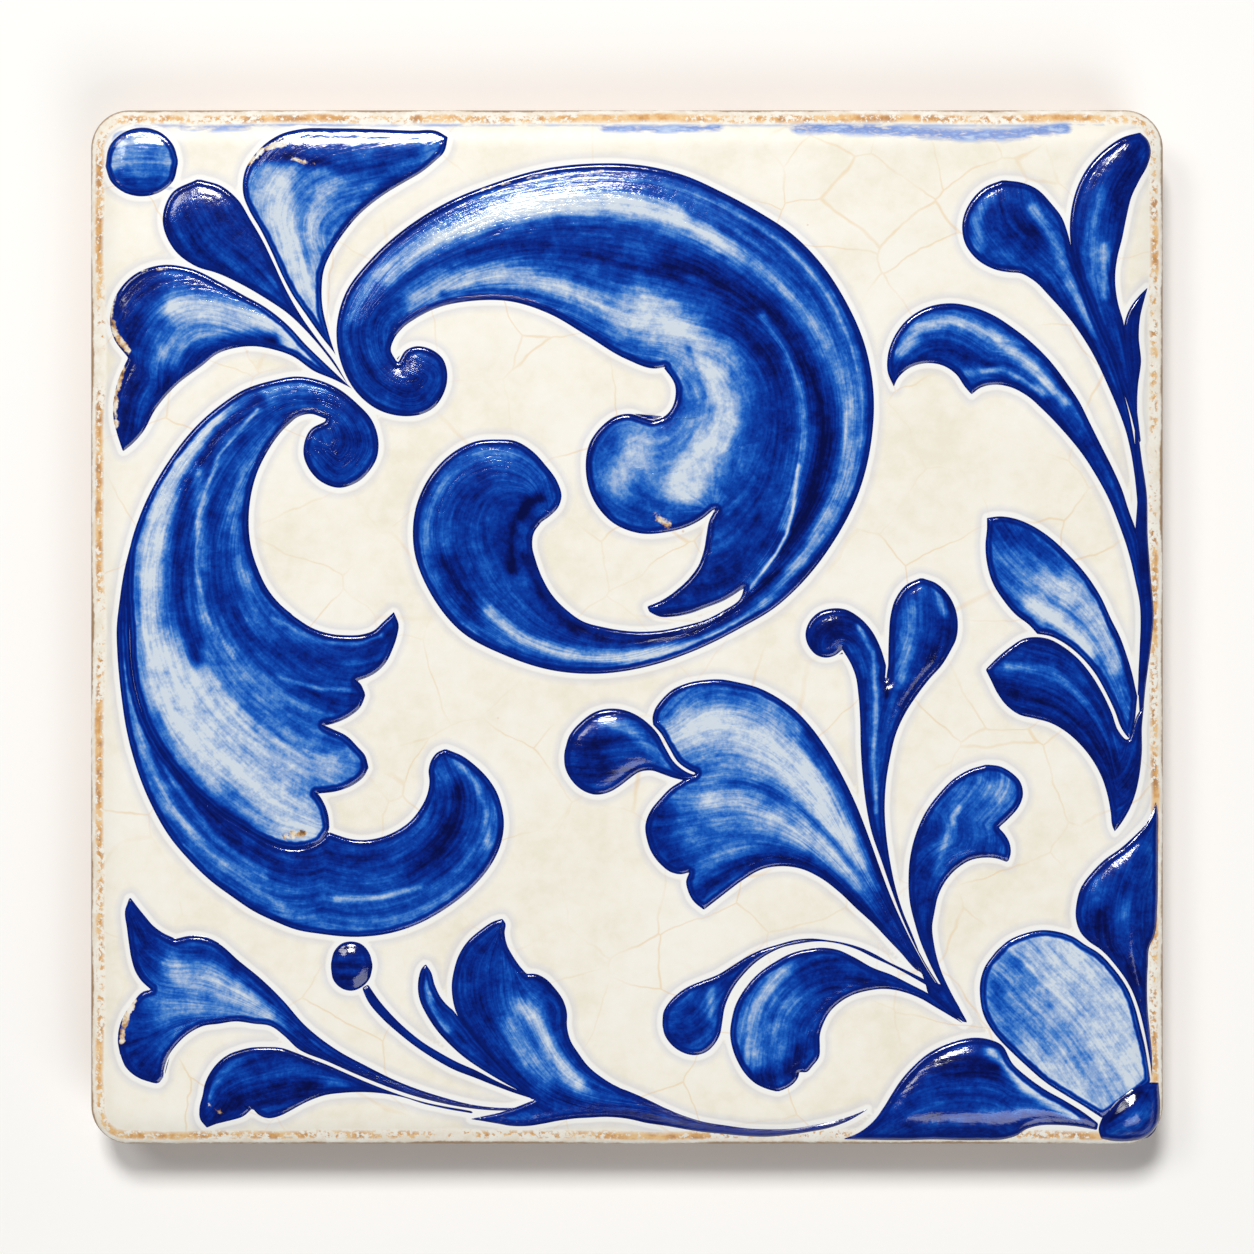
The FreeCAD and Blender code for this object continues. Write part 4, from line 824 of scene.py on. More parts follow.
def smooth_line(flat):
    """Samples along a smooth line through given points, and where on it its sharp corners are.

    Between two points it's the cubic with a tangent at each. The tangent is the mean of the two
    chord directions, each weighted by the other chord's length, and one-sided at ends and corners.
    """
    points = np.array(flat, float).reshape(-1, 2)
    chord = np.diff(points, axis=0)
    length = np.hypot(chord[:, 0], chord[:, 1])
    direction = chord / np.maximum(length, 1e-9)[:, None]
    before = np.vstack([direction[:1], direction])
    after = np.vstack([direction, direction[-1:]])
    len_before = np.r_[0.0, length][:, None]
    len_after = np.r_[length, 0.0][:, None]
    tangent = (before * len_after + after * len_before) / np.maximum(len_before + len_after, 1e-9)
    tangent = np.where(len_before == 0, after, np.where(len_after == 0, before, tangent))
    solid = length > 0
    t = (np.arange(LINE_STEPS) / LINE_STEPS)[None, :, None]
    start = points[:-1][solid][:, None, :]
    end = points[1:][solid][:, None, :]
    pull_start = (tangent[:-1] * length[:, None])[solid][:, None, :]
    pull_end = (tangent[1:] * length[:, None])[solid][:, None, :]
    curve = (
        (2 * t**3 - 3 * t**2 + 1) * start
        + (t**3 - 2 * t**2 + t) * pull_start
        + (3 * t**2 - 2 * t**3) * end
        + (t**3 - t**2) * pull_end
    )
    samples = np.vstack([curve.reshape(-1, 2), points[-1:]])
    arc = np.r_[0.0, np.cumsum(np.hypot(*np.diff(samples, axis=0).T))]
    corner_points = points[:-1][~solid]
    corners = [arc[np.argmin(np.hypot(*(samples - c).T))] for c in corner_points]
    return samples, arc, np.array(corners)


def along(line, arc_at):
    """Points of a sampled line at given distances along it."""
    samples, arc, _ = line
    return np.stack([np.interp(arc_at, arc, samples[:, i]) for i in (0, 1)], axis=-1)


def ruled_patch(side_a, side_b, ties):
    """Grid of plan points P(u, v) = (1 - v) A(u) + v B(u) between two sides, and its stroke coordinates.

    u runs along both sides at once, in step between the listed chords; v runs across, with even
    fine steps for the first millimetre in from each side and even coarse ones between.
    """
    a = smooth_line(side_a)
    b = smooth_line(side_b)
    chords = np.array(ties, float).reshape(-1, 4)
    knots_a = np.r_[0.0, [a[1][np.argmin(np.hypot(*(a[0] - c[:2]).T))] for c in chords], a[1][-1]]
    knots_b = np.r_[0.0, [b[1][np.argmin(np.hypot(*(b[0] - c[2:]).T))] for c in chords], b[1][-1]]
    if (np.diff(knots_a) <= 0).any() or (np.diff(knots_b) <= 0).any():
        raise ValueError(f"chords out of order: {np.round(knots_a, 1)} {np.round(knots_b, 1)}")
    numbers = np.arange(len(knots_a))
    spans = np.maximum(np.diff(knots_a), np.diff(knots_b))
    counts = np.maximum(2, np.ceil(spans / PAD_PITCH)).astype(int)
    rows = np.concatenate([k + np.arange(c) / c for k, c in enumerate(counts)] + [numbers[-1:]])
    sharp = np.r_[np.interp(a[2], knots_a, numbers), np.interp(b[2], knots_b, numbers)]
    rows = np.unique(np.round(np.r_[rows, sharp], 5))
    line_a = along(a, np.interp(rows, numbers, knots_a))
    line_b = along(b, np.interp(rows, numbers, knots_b))
    width = np.hypot(*(line_b - line_a).T)
    coarse = max(3, math.ceil((width.max() - BORDER_BANDS) / PAD_PITCH))
    step = np.minimum(BORDER_STEP, width / (2 * BORDER_STEPS + coarse))[:, None]
    inner = np.linspace(0, 1, coarse + 1)[None, 1:-1]
    middle = width[:, None] - 2 * BORDER_STEPS * step
    near = step * np.arange(BORDER_STEPS + 1)[None, :]
    across = np.hstack([near, BORDER_STEPS * step + middle * inner, width[:, None] - near[:, ::-1]])
    v = across / width[:, None]
    plan = (1 - v)[:, :, None] * line_a[:, None, :] + v[:, :, None] * line_b[:, None, :]
    mid = (line_a + line_b) / 2
    travel = np.r_[0.0, np.cumsum(np.hypot(*np.diff(mid, axis=0).T))]
    stroke = np.stack([np.broadcast_to(travel[:, None], v.shape), across - width[:, None] / 2], axis=-1)
    outline = np.vstack([a[0], b[0][::-1]])
    return plan, stroke, outline


def segments_of(outline):
    """The straight pieces of a closed outline as rows of start x, start y, end x, end y."""
    return np.hstack([outline, np.roll(outline, -1, axis=0)])


def distance_to(points, segments):
    """Distance from each point to the nearest of the straight pieces, mm, and the rounded distance.

    The rounded distance is (2/pi x sum of length / distance^4)^(-1/3) over all the pieces. Near one
    straight side it equals the plain distance, and between two sides it has no ridge.
    """
    start = segments[:, :2]
    run = segments[:, 2:] - start
    square = np.maximum((run**2).sum(1), 1e-12)
    length = np.sqrt(square)
    nearest = np.empty(len(points))
    rounded = np.empty(len(points))
    for first in range(0, len(points), BATCH):
        part = slice(first, first + BATCH)
        across = points[part, 0, None] - start[None, :, 0]
        up = points[part, 1, None] - start[None, :, 1]
        t = np.clip((across * run[:, 0] + up * run[:, 1]) / square, 0, 1)
        gap = (across - t * run[:, 0]) ** 2 + (up - t * run[:, 1]) ** 2
        nearest[part] = np.sqrt(gap.min(1))
        rounded[part] = (2 / np.pi * (length / (gap**2 + 1e-4)).sum(1)) ** (-1 / 3)
    return nearest, rounded


def inside(points, outline):
    """Whether each point is inside a closed outline: a ray to the right crosses it an odd number of times."""
    x0, y0, x1, y1 = segments_of(outline).T
    found = np.zeros(len(points), bool)
    for first in range(0, len(points), BATCH):
        part = slice(first, first + BATCH)
        px = points[part, 0, None]
        py = points[part, 1, None]
        spans = (y0 > py) != (y1 > py)
        reach = x0 + (py - y0) * (x1 - x0) / np.where(y1 == y0, 1e-9, y1 - y0)
        found[part] = (spans & (reach > px)).sum(1) % 2 == 1
    return found


def free_pieces(outlines):
    """The parts of a group's outlines that don't lie inside another pad of the same group."""
    kept = []
    for index, outline in enumerate(outlines):
        pieces = segments_of(outline)
        middle = (pieces[:, :2] + pieces[:, 2:]) / 2
        free = np.ones(len(pieces), bool)
        for other, shape in enumerate(outlines):
            if other != index:
                deep = distance_to(middle, segments_of(shape))[0] > OVERLAP
                free &= ~(inside(middle, shape) & deep)
        kept.append(pieces[free])
    return np.vstack(kept)


def relief(rim, rounded, group):
    """How proud of the face the glaze of a stroke stands, mm, from the distances in from its outline.

    It rises over a rounded bead at the outline, height x (1 - e^-(rim / width)^2), dips a little
    behind it, depth x e^-((rim - place) / width)^2, and then domes towards the middle by
    height x (1 - e^-(rounded / width)^2), with that height and width from the table of domes.
    """
    dome_height, dome_width = DOMES.get(group, PLAIN_DOME)
    bead = BEAD_HEIGHT * (1 - np.exp(-((rim / BEAD_WIDTH) ** 2)))
    dip = DIP_DEPTH * np.exp(-(((rim - DIP_PLACE) / DIP_WIDTH) ** 2))
    dome = dome_height * (1 - np.exp(-((rounded / dome_width) ** 2)))
    return bead - dip + dome - SUNK


def shade(points, group):
    """Tone of the wash, 0 darkest to 1 palest: a base tone, then each brush stroke laid over it, the painted
    highlights and painted shade of the table among them.
    """
    tone = np.full(len(points), BASE_TONES[group])
    for owner, value, half_width, line in BRUSHWORK:
        if owner == group:
            tone += (value - tone) * stroke_mask(points, half_width, line)
    return tone


def stroke_mask(points, half_width, line):
    """How much of a stroke lies on each point: e^-(distance from its line / half width)^2.

    A line of one point is a dab, drawn as a line too short to see.
    """
    path = np.array(line, float).reshape(-1, 2)
    if len(path) == 1:
        path = np.vstack([path, path + 0.01])
    return np.exp(-((distance_to(points, np.hstack([path[:-1], path[1:]]))[0] / half_width) ** 2))


def strongest(points, strokes):
    """The strongest of several strokes at each point, each given as strength, half width and line."""
    found = np.zeros(len(points))
    for strength, half_width, line in strokes:
        found = np.maximum(found, strength * stroke_mask(points, half_width, line))
    return found


def place_on(points, guide):
    """For each point, its distance to a guide line, how far along that is, mm, and on which side."""
    samples, arc, _ = smooth_line(guide)
    start = samples[:-1]
    run = samples[1:] - start
    square = np.maximum((run**2).sum(1), 1e-12)
    gap = np.empty(len(points))
    travel = np.empty(len(points))
    side = np.empty(len(points))
    for first in range(0, len(points), BATCH):
        batch = slice(first, first + BATCH)
        part = points[batch, None, :] - start[None, :, :]
        t = np.clip((part * run[None, :, :]).sum(2) / square, 0, 1)
        off = part - t[:, :, None] * run[None, :, :]
        away = (off**2).sum(2)
        best = away.argmin(1)
        row = np.arange(len(best))
        gap[batch] = np.sqrt(away[row, best])
        travel[batch] = arc[best] + t[row, best] * np.sqrt(square[best])
        cross = run[best, 0] * off[row, best, 1] - run[best, 1] * off[row, best, 0]
        side[batch] = np.where(cross < 0, 1, -1)
    return gap, travel, side


def brush_flow(points, guides):
    """Distance along and across the brush's path between guide lines, mm, for each point.

    Across is the number of the nearest guide plus the fraction of the way to the next one on the
    point's own side, and along is shared between those two guides in the same proportion.
    """
    gaps, travels, sides = np.array([place_on(points, guide) for guide in guides]).transpose(1, 0, 2)
    row = np.arange(len(points))
    nearest = gaps.argmin(0)
    # The guides may be listed from left to right of the brush's travel or the other way round.
    order = np.sign(np.median(sides[:-1] * np.where(gaps[1:] < gaps[:-1], 1, -1))) or 1
    towards = sides[nearest, row] * order
    other = np.clip(nearest + towards, 0, len(guides) - 1).astype(int)
    share = gaps[nearest, row] / np.maximum(gaps[nearest, row] + gaps[other, row], 1e-6)
    share = np.where(other == nearest, gaps[nearest, row] / GUIDE_REACH, share)
    across = (nearest + towards * share) * GUIDE_WIDTH
    blend = np.where(other == nearest, 0, share)
    along_path = (1 - blend) * travels[nearest, row] + blend * travels[other, row]
    return np.column_stack([along_path, across])


def mesh_from(name, vertices, faces, material_index=None):
    """A smooth mesh object: vertices in metres, and an array of faces for each number of corners."""
    sizes = np.concatenate([np.full(len(f), f.shape[1]) for f in faces])
    corners = np.concatenate([f.ravel() for f in faces])
    mesh = bpy.data.meshes.new(name)
    mesh.vertices.add(len(vertices))
    mesh.vertices.foreach_set("co", vertices.astype(np.float32).ravel())
    mesh.loops.add(len(corners))
    mesh.loops.foreach_set("vertex_index", corners.astype(np.int32))
    mesh.polygons.add(len(sizes))
    mesh.polygons.foreach_set("loop_start", np.r_[0, np.cumsum(sizes)[:-1]].astype(np.int32))
    mesh.polygons.foreach_set("use_smooth", np.ones(len(sizes), bool))
    if material_index is not None:
        mesh.polygons.foreach_set("material_index", material_index.astype(np.int32))
    mesh.update(calc_edges=True)
    made = bpy.data.objects.new(name, mesh)
    bpy.context.scene.collection.objects.link(made)
    return made


def attach(obj, name, values):
    """A value for every vertex that a material can read, one number or a vector of three."""
    kind = "FLOAT" if values.ndim == 1 else "FLOAT_VECTOR"
    layer = obj.data.attributes.new(name, kind, "POINT")
    layer.data.foreach_set("value" if values.ndim == 1 else "vector", values.astype(np.float32).ravel())


def grid_quads(rows, columns, start=0):
    """Indices of the four corners of every cell of a grid of vertices."""
    number = start + np.arange(rows * columns).reshape(rows, columns)
    corners = [number[:-1, :-1], number[:-1, 1:], number[1:, 1:], number[1:, :-1]]
    return np.stack(corners, axis=-1).reshape(-1, 4)


def pad(name, plan, stroke, segments, group, lift, seed):
    """A closed pad of glaze: the ruled patch raised by its relief, with a wall down into the face.

    The top is the grid itself. The wall follows the grid's border down under the face, and the foot
    is closed by one long face across each row.
    """
    rows, columns = plan.shape[:2]
    points = plan.reshape(-1, 2)
    rim, rounded = distance_to(points, segments)
    level = face_level(points[:, 0], points[:, 1])
    height = level + relief(rim, rounded, group) + lift
    top = np.column_stack([points, height])
    number = np.arange(rows * columns).reshape(rows, columns)
    ring = np.concatenate([number[0, :], number[1:, -1], number[-1, -2::-1], number[-2:0:-1, 0]])
    foot = np.column_stack([points[ring], level[ring] - WALL_DEPTH])
    base = rows * columns
    low = base + np.arange(len(ring))
    after = np.roll(np.arange(len(ring)), -1)
    wall = np.stack([ring, ring[after], low[after], low], axis=-1)
    cells = grid_quads(rows, columns)
    # The foot's right border runs forwards from row 0 and its left border backwards from the last row.
    right = low[columns - 1 : columns - 1 + rows]
    left = np.r_[low[0], low[: 2 * columns + rows - 4 : -1]]
    bottom = np.stack([left[1:-2], left[2:-1], right[2:-1], right[1:-2]], axis=-1)
    first = np.r_[low[:columns], right[1], left[1]]
    last = np.r_[low[columns + rows - 2 : columns + rows - 2 + columns], left[-2], right[-2]]
    faces = [cells, wall[:, ::-1], bottom, first[None, ::-1], last[None, ::-1]]
    if shoelace(plan[:, 0], plan[:, -1]) < 0:
        faces = [f[:, ::-1] for f in faces]
    made = mesh_from(name, np.vstack([top, foot]) * MM, faces)
    # The top's border is a sharp edge, so that its shading doesn't bend where two pads fuse. Each
    # edge is told by one number worked out from its two ends.
    ends = np.empty(2 * len(made.data.edges), np.int32)
    made.data.edges.foreach_get("vertices", ends)
    ends_to_one = [len(made.data.vertices), 1]
    pairs = np.sort(ends.reshape(-1, 2).astype(np.int64)) @ ends_to_one
    border = np.sort(np.column_stack([ring, ring[after]])) @ ends_to_one
    sharp = made.data.attributes.new("sharp_edge", "BOOLEAN", "EDGE")
    sharp.data.foreach_set("value", np.isin(pairs, border))
    every = np.r_[np.arange(base), ring]
    attach(made, "rim", rim[every])
    attach(made, "tone", shade(points, group)[every])
    attach(made, "worn", strongest(points, [w[1:] for w in WORN if w[0] == group])[every])
    path = brush_flow(points, GUIDES[group]) if group in GUIDES else stroke.reshape(-1, 2)
    grain = 0.0 if group in GUIDES else seed * GRAIN_STEP
    flow = np.column_stack([path, np.full(base, grain)])
    attach(made, "flow", flow[every])
    return made


def shoelace(side_a, side_b):
    """Twice the signed area between two sides, positive where the grid's cells turn anticlockwise."""
    loop = np.vstack([side_b[::-1], side_a])
    x, y = loop.T
    return -(x * np.roll(y, -1) - y * np.roll(x, -1)).sum()


def build_ornament():
    """Every pad of the ornament, and each group's free outline and pad outlines for the slab's glaze."""
    pads = []
    groups = {}
    for group, name, side_a, side_b, ties in MOTIFS:
        groups.setdefault(group, []).append((name, ruled_patch(side_a, side_b, ties)))
    outlines = {}
    for group, members in groups.items():
        shapes = [patch[2] for _, patch in members]
        segments = free_pieces(shapes)
        outlines[group] = (segments, shapes)
        for order, (name, (plan, stroke, _)) in enumerate(members):
            label = f"paint_{group}" if len(members) == 1 else f"paint_{group}_{name}"
            pads.append(pad(label, plan, stroke, segments, group, LAP * order, len(pads) + 1))
    return pads, outlines


def edge_profile():
    """Steps out from the flat face's edge down to the back: those of the glaze, then those below it, mm.

    The glazed ones come closer together towards the rim and take their level from the face's own
    formula. The lower ones, with a level each, are the middle and foot of the upright land, the side
    that leans in, and the rubbed arris round the back.
    """
    roll = CORNER_RADIUS - np.linspace(0, 1, ROLL_STEPS + 1)[1:] ** 0.8 * (CORNER_RADIUS - ROLL_JOIN)
    tight = ROLL_JOIN * (1 - np.linspace(0, 1, TIGHT_STEPS + 1)[1:]) ** 2
    lean = np.linspace(0, 1, SIDE_STEPS + 1)
    side = CORNER_RADIUS - UNDERCUT * lean
    side_levels = LAND_FOOT + (BACK_ARRIS - LAND_FOOT) * lean
    lower = np.r_[CORNER_RADIUS, side, side[-1] - ARRIS_MIDDLE[0], side[-1] - BACK_ARRIS]
    lower_levels = np.r_[(RIM_LEVEL + LAND_FOOT) / 2, side_levels, ARRIS_MIDDLE[1], 0]
    return CORNER_RADIUS - np.r_[roll, tight], lower, lower_levels


def grid_border(number):
    """The vertices round a grid's border and the way out from each, turning about each corner."""
    turn = np.linspace(0, np.pi / 2, CORNER_STEPS + 1)[:-1]
    base = []
    angle = []
    for k, side in enumerate([number[0, :], number[:, -1], number[-1, ::-1], number[::-1, 0]]):
        facing = (k - 1) * np.pi / 2
        base += [side[:-1], np.full(len(turn), side[-1])]
        angle += [np.full(len(side) - 1, facing), facing + turn]
    angle = np.concatenate(angle)
    return np.concatenate(base), np.stack([np.cos(angle), np.sin(angle)], axis=-1)


def slab_mesh():
    """The whole tile as one closed surface: a grid for the flat face, and the edge profile carried round.

    Each ring of the edge is the grid's border moved out by one step of the profile. The back's rings
    are the last of them drawn in by the back's shares, and end in one vertex in its middle.
    """
    x = np.linspace(CORNER_RADIUS - HALF_WIDTH, HALF_WIDTH - CORNER_RADIUS, FACE_COLUMNS)
    y = np.linspace(CORNER_RADIUS - HALF_DEPTH, HALF_DEPTH - CORNER_RADIUS, FACE_ROWS)
    flat = np.stack(np.meshgrid(x, y), axis=-1).reshape(-1, 2)
    base, outwards = grid_border(np.arange(len(flat)).reshape(FACE_ROWS, FACE_COLUMNS))
    glazed, lower, lower_levels = edge_profile()
    rings = flat[base] + np.r_[glazed, lower][:, None, None] * outwards
    upper = rings[: len(glazed)]
    back = np.array(BACK_SHARES)[:, None, None] * rings[-1]
    levels = np.r_[lower_levels, np.zeros(len(back))]
    level_rings = [face_level(upper[..., 0], upper[..., 1]), np.repeat(levels[:, None], len(base), axis=1)]
    rings = np.concatenate([rings, back])
    top = np.column_stack([flat, face_level(flat[:, 0], flat[:, 1])])
    edge = np.column_stack([rings.reshape(-1, 2), np.concatenate(level_rings).ravel()])
    vertices = np.vstack([top, edge, np.zeros((1, 3))])
    number = len(top) + np.arange(len(edge)).reshape(len(rings), len(base))
    after = np.roll(np.arange(len(base)), -1)
    # At a corner the border stands still while it turns, so its first strip is a fan of triangles.
    strip = np.stack([base, number[0], number[0][after], base[after]], axis=-1)
    fan = base == base[after]
    ends = [number[:-1], number[1:], number[1:][:, after], number[:-1][:, after]]
    around = np.stack(ends, axis=-1).reshape(-1, 4)
    middle = np.full(len(base), len(vertices) - 1)
    last = np.stack([number[-1], middle, number[-1][after]], axis=-1)
    faces = [grid_quads(FACE_ROWS, FACE_COLUMNS), strip[~fan], strip[fan][:, :3], around, last]
    # The glaze ends at the foot of the land, one ring below the land's middle.
    bare = np.repeat(np.arange(len(rings) - 1) > len(glazed), len(base))
    face_kinds = np.concatenate([np.zeros(sum(len(f) for f in faces[:3])), bare, np.ones(len(last))])
    return mesh_from("tile_body", vertices * MM, faces, face_kinds), vertices


def mark_glaze(body, vertices, outlines):
    """Tells the slab's glaze how far it is from the paint and from the rim, and where blue is smeared.

    Halo is the distance to the nearest outline, mm, negative under the paint. Edge is the distance
    in from the tile's outline, mm, and nothing below the rim.
    """
    points = vertices[:, :2]
    halo = np.full(len(points), HALO_NONE)
    upper = vertices[:, 2] > RIM_LEVEL - RIM_BELOW
    for segments, shapes in outlines.values():
        low_corner = segments.reshape(-1, 2).min(0) - HALO_REACH
        high_corner = segments.reshape(-1, 2).max(0) + HALO_REACH
        near = upper & (points > low_corner).all(1) & (points < high_corner).all(1)
        chosen = points[near]
        gap = distance_to(chosen, segments)[0]
        covered = np.zeros(len(chosen), bool)
        for shape in shapes:
            covered |= inside(chosen, shape)
        halo[near] = np.minimum(halo[near], np.where(covered, -gap, gap))
    attach(body, "halo", halo)
    attach(body, "edge", np.where(upper, inward_distance(points[:, 0], points[:, 1]), 0.0))
    attach(body, "smear", strongest(points, SMEARS))


def linear(code):
    """An sRGB hex colour as the linear values that a shader takes."""
    channels = [int(code[i : i + 2], 16) / 255 for i in (1, 3, 5)]
    return tuple(c / 12.92 if c <= 0.04045 else ((c + 0.055) / 1.055) ** 2.4 for c in channels) + (1.0,)


def node(tree, kind, inputs, output=0, stops=(), **settings):
    """Adds a node and gives one of its outputs.

    inputs says, for a socket's name or number, its value or the output that feeds it. stops are a
    colour ramp's positions with a hex colour or a grey level each.
    """
    made = tree.nodes.new(kind)
    for key, value in settings.items():
        setattr(made, key, value)
    for key, value in inputs.items():
        if isinstance(value, bpy.types.NodeSocket):
            tree.links.new(value, made.inputs[key])
        else:
            made.inputs[key].default_value = value
    for index, (position, value) in enumerate(stops):
        elements = made.color_ramp.elements
        element = elements[index] if index < len(elements) else elements.new(position)
        element.position = position
        element.color = linear(value) if isinstance(value, str) else (value, value, value, 1.0)
    return made.outputs[output] if len(made.outputs) else None


def new_material(name):
    """An empty node material and its tree."""
    material = bpy.data.materials.new(name)
    material.use_nodes = True
    material.node_tree.nodes.clear()
    return material, material.node_tree


def finish(tree, colour, height, depth, **surface):
    """Ends a material: a principled surface with a bump of a given depth in millimetres."""
    bump = node(tree, "ShaderNodeBump", {"Height": height, "Distance": depth * MM, "Strength": 1.0})
    inputs = {"Base Color": colour, "IOR": 1.52, "Normal": bump}
    inputs.update({key.replace("_", " "): value for key, value in surface.items()})
    node(tree, "ShaderNodeOutputMaterial", {0: node(tree, "ShaderNodeBsdfPrincipled", inputs)})


def cobalt_paint():
    """Cobalt blue brushed on tin glaze: dark drawn outlines with a painted highlight along them, round
    streaky washes, glossy, softly pitted.
    """
    material, tree = new_material("cobalt blue brushed on tin glaze and fired")
    place = node(tree, "ShaderNodeTexCoord", {}, "Object")
    flow = node(tree, READ, {}, "Vector", attribute_name="flow")
    rim = node(tree, READ, {}, "Fac", attribute_name="rim")
    tone = node(tree, READ, {}, "Fac", attribute_name="tone")
    worn = node(tree, READ, {}, "Fac", attribute_name="worn")
    # The brush drags the pigment into streaks 0.6 mm wide and a centimetre long along the stroke.
    drag = node(tree, STRETCH, {"Vector": flow, "Scale": (0.11, 1.6, 1.0)})
    streak = node(tree, NOISE, {"Vector": drag, "Scale": 1.0, "Detail": 3.0, "Roughness": 0.62})
    # Wetter and drier passes of the brush lie side by side, about 2.5 mm wide.
    passes = node(tree, STRETCH, {"Vector": flow, "Scale": (0.06, 0.42, 1.0), "Location": (7.0, 3.0, 5.0)})
    band = node(tree, NOISE, {"Vector": passes, "Scale": 1.0, "Detail": 2.0, "Roughness": 0.5})
    # The wet wash pools in blotches of 2.5 mm and grains of 0.5 mm.
    pool = node(tree, NOISE, {"Vector": place, "Scale": 400.0, "Detail": 4.0, "Roughness": 0.62})
    grain = node(tree, NOISE, {"Vector": place, "Scale": 2100.0, "Detail": 3.0, "Roughness": 0.65})
    total = tone
    for pattern, strength in ((streak, 0.62), (band, 0.5), (pool, 0.62), (grain, 0.34)):
        total = node(tree, MATHS, {0: pattern, 1: strength, 2: total}, operation="MULTIPLY_ADD")
    body = node(tree, MATHS, {0: total, 1: 1.04}, operation="SUBTRACT", use_clamp=True)
    swing = node(tree, MATHS, {0: total, 1: tone}, operation="SUBTRACT")
    # The outline is 0.95 mm wide, two dark lines with a thinner, brighter one between them. The brighter
    # one is a painted highlight along the raised bead, over the bead's own gloss.
    wander = node(tree, NOISE, {"Vector": place, "Scale": 700.0, "Detail": 2.0})
    depth_in = node(tree, MATHS, {0: wander, 1: 0.4, 2: rim}, operation="MULTIPLY_ADD")
    depth_in = node(tree, MATHS, {0: depth_in, 1: 0.5, 2: -0.1}, operation="MULTIPLY_ADD")
    outline = [(0.0, 1.0), (0.15, 1.0), (0.21, 0.62), (0.26, 0.62), (0.32, 0.95), (0.40, 0.8), (0.52, 0.0)]
    line = node(tree, RAMP, {0: depth_in}, stops=outline)
    dark = node(tree, MATHS, {0: swing, 1: 0.28, 2: -0.13}, operation="MULTIPLY_ADD")
    shown = node(tree, BLEND, {0: line, 2: body, 3: dark}, 0)
    colour = node(tree, RAMP, {0: shown}, stops=PAINT_STOPS)
    # Where hands and brushes have rubbed a raised edge, the paint is gone in flakes to white and ochre.
    flake = node(tree, NOISE, {"Vector": place, "Scale": 950.0, "Detail": 3.0, "Roughness": 0.6})
    rubbed = node(tree, MATHS, {0: flake, 1: 1.6, 2: worn}, operation="MULTIPLY_ADD")
    rubbed = node(tree, RAMP, {0: node(tree, MATHS, {0: rubbed, 1: 0.4}, operation="MULTIPLY")},
                  stops=[(0.56, 0.0), (0.64, 1.0)])
    bare_noise = node(tree, NOISE, {"Vector": place, "Scale": 620.0, "Detail": 3.0, "Roughness": 0.6})
    bare_stops = [(0.36, "#6E4E36"), (0.44, "#C79C68"), (0.53, "#EBDCC4"), (0.62, "#F2EEE6")]
    bare = node(tree, RAMP, {0: bare_noise}, stops=bare_stops)
    colour = node(tree, BLEND, {0: rubbed, 6: colour, 7: bare}, 2, data_type="RGBA")
    pits = node(tree, NOISE, {"Vector": place, "Scale": 800.0, "Detail": 3.0, "Roughness": 0.6})
    height = node(tree, MATHS, {0: pits, 1: 0.4, 2: streak}, operation="MULTIPLY_ADD")
    height = node(tree, MATHS, {0: pool, 1: 1.6, 2: height}, operation="MULTIPLY_ADD")
    finish(tree, colour, height, 0.032, Roughness=0.1, Coat_Weight=0.2, Coat_Roughness=0.04)
    return material


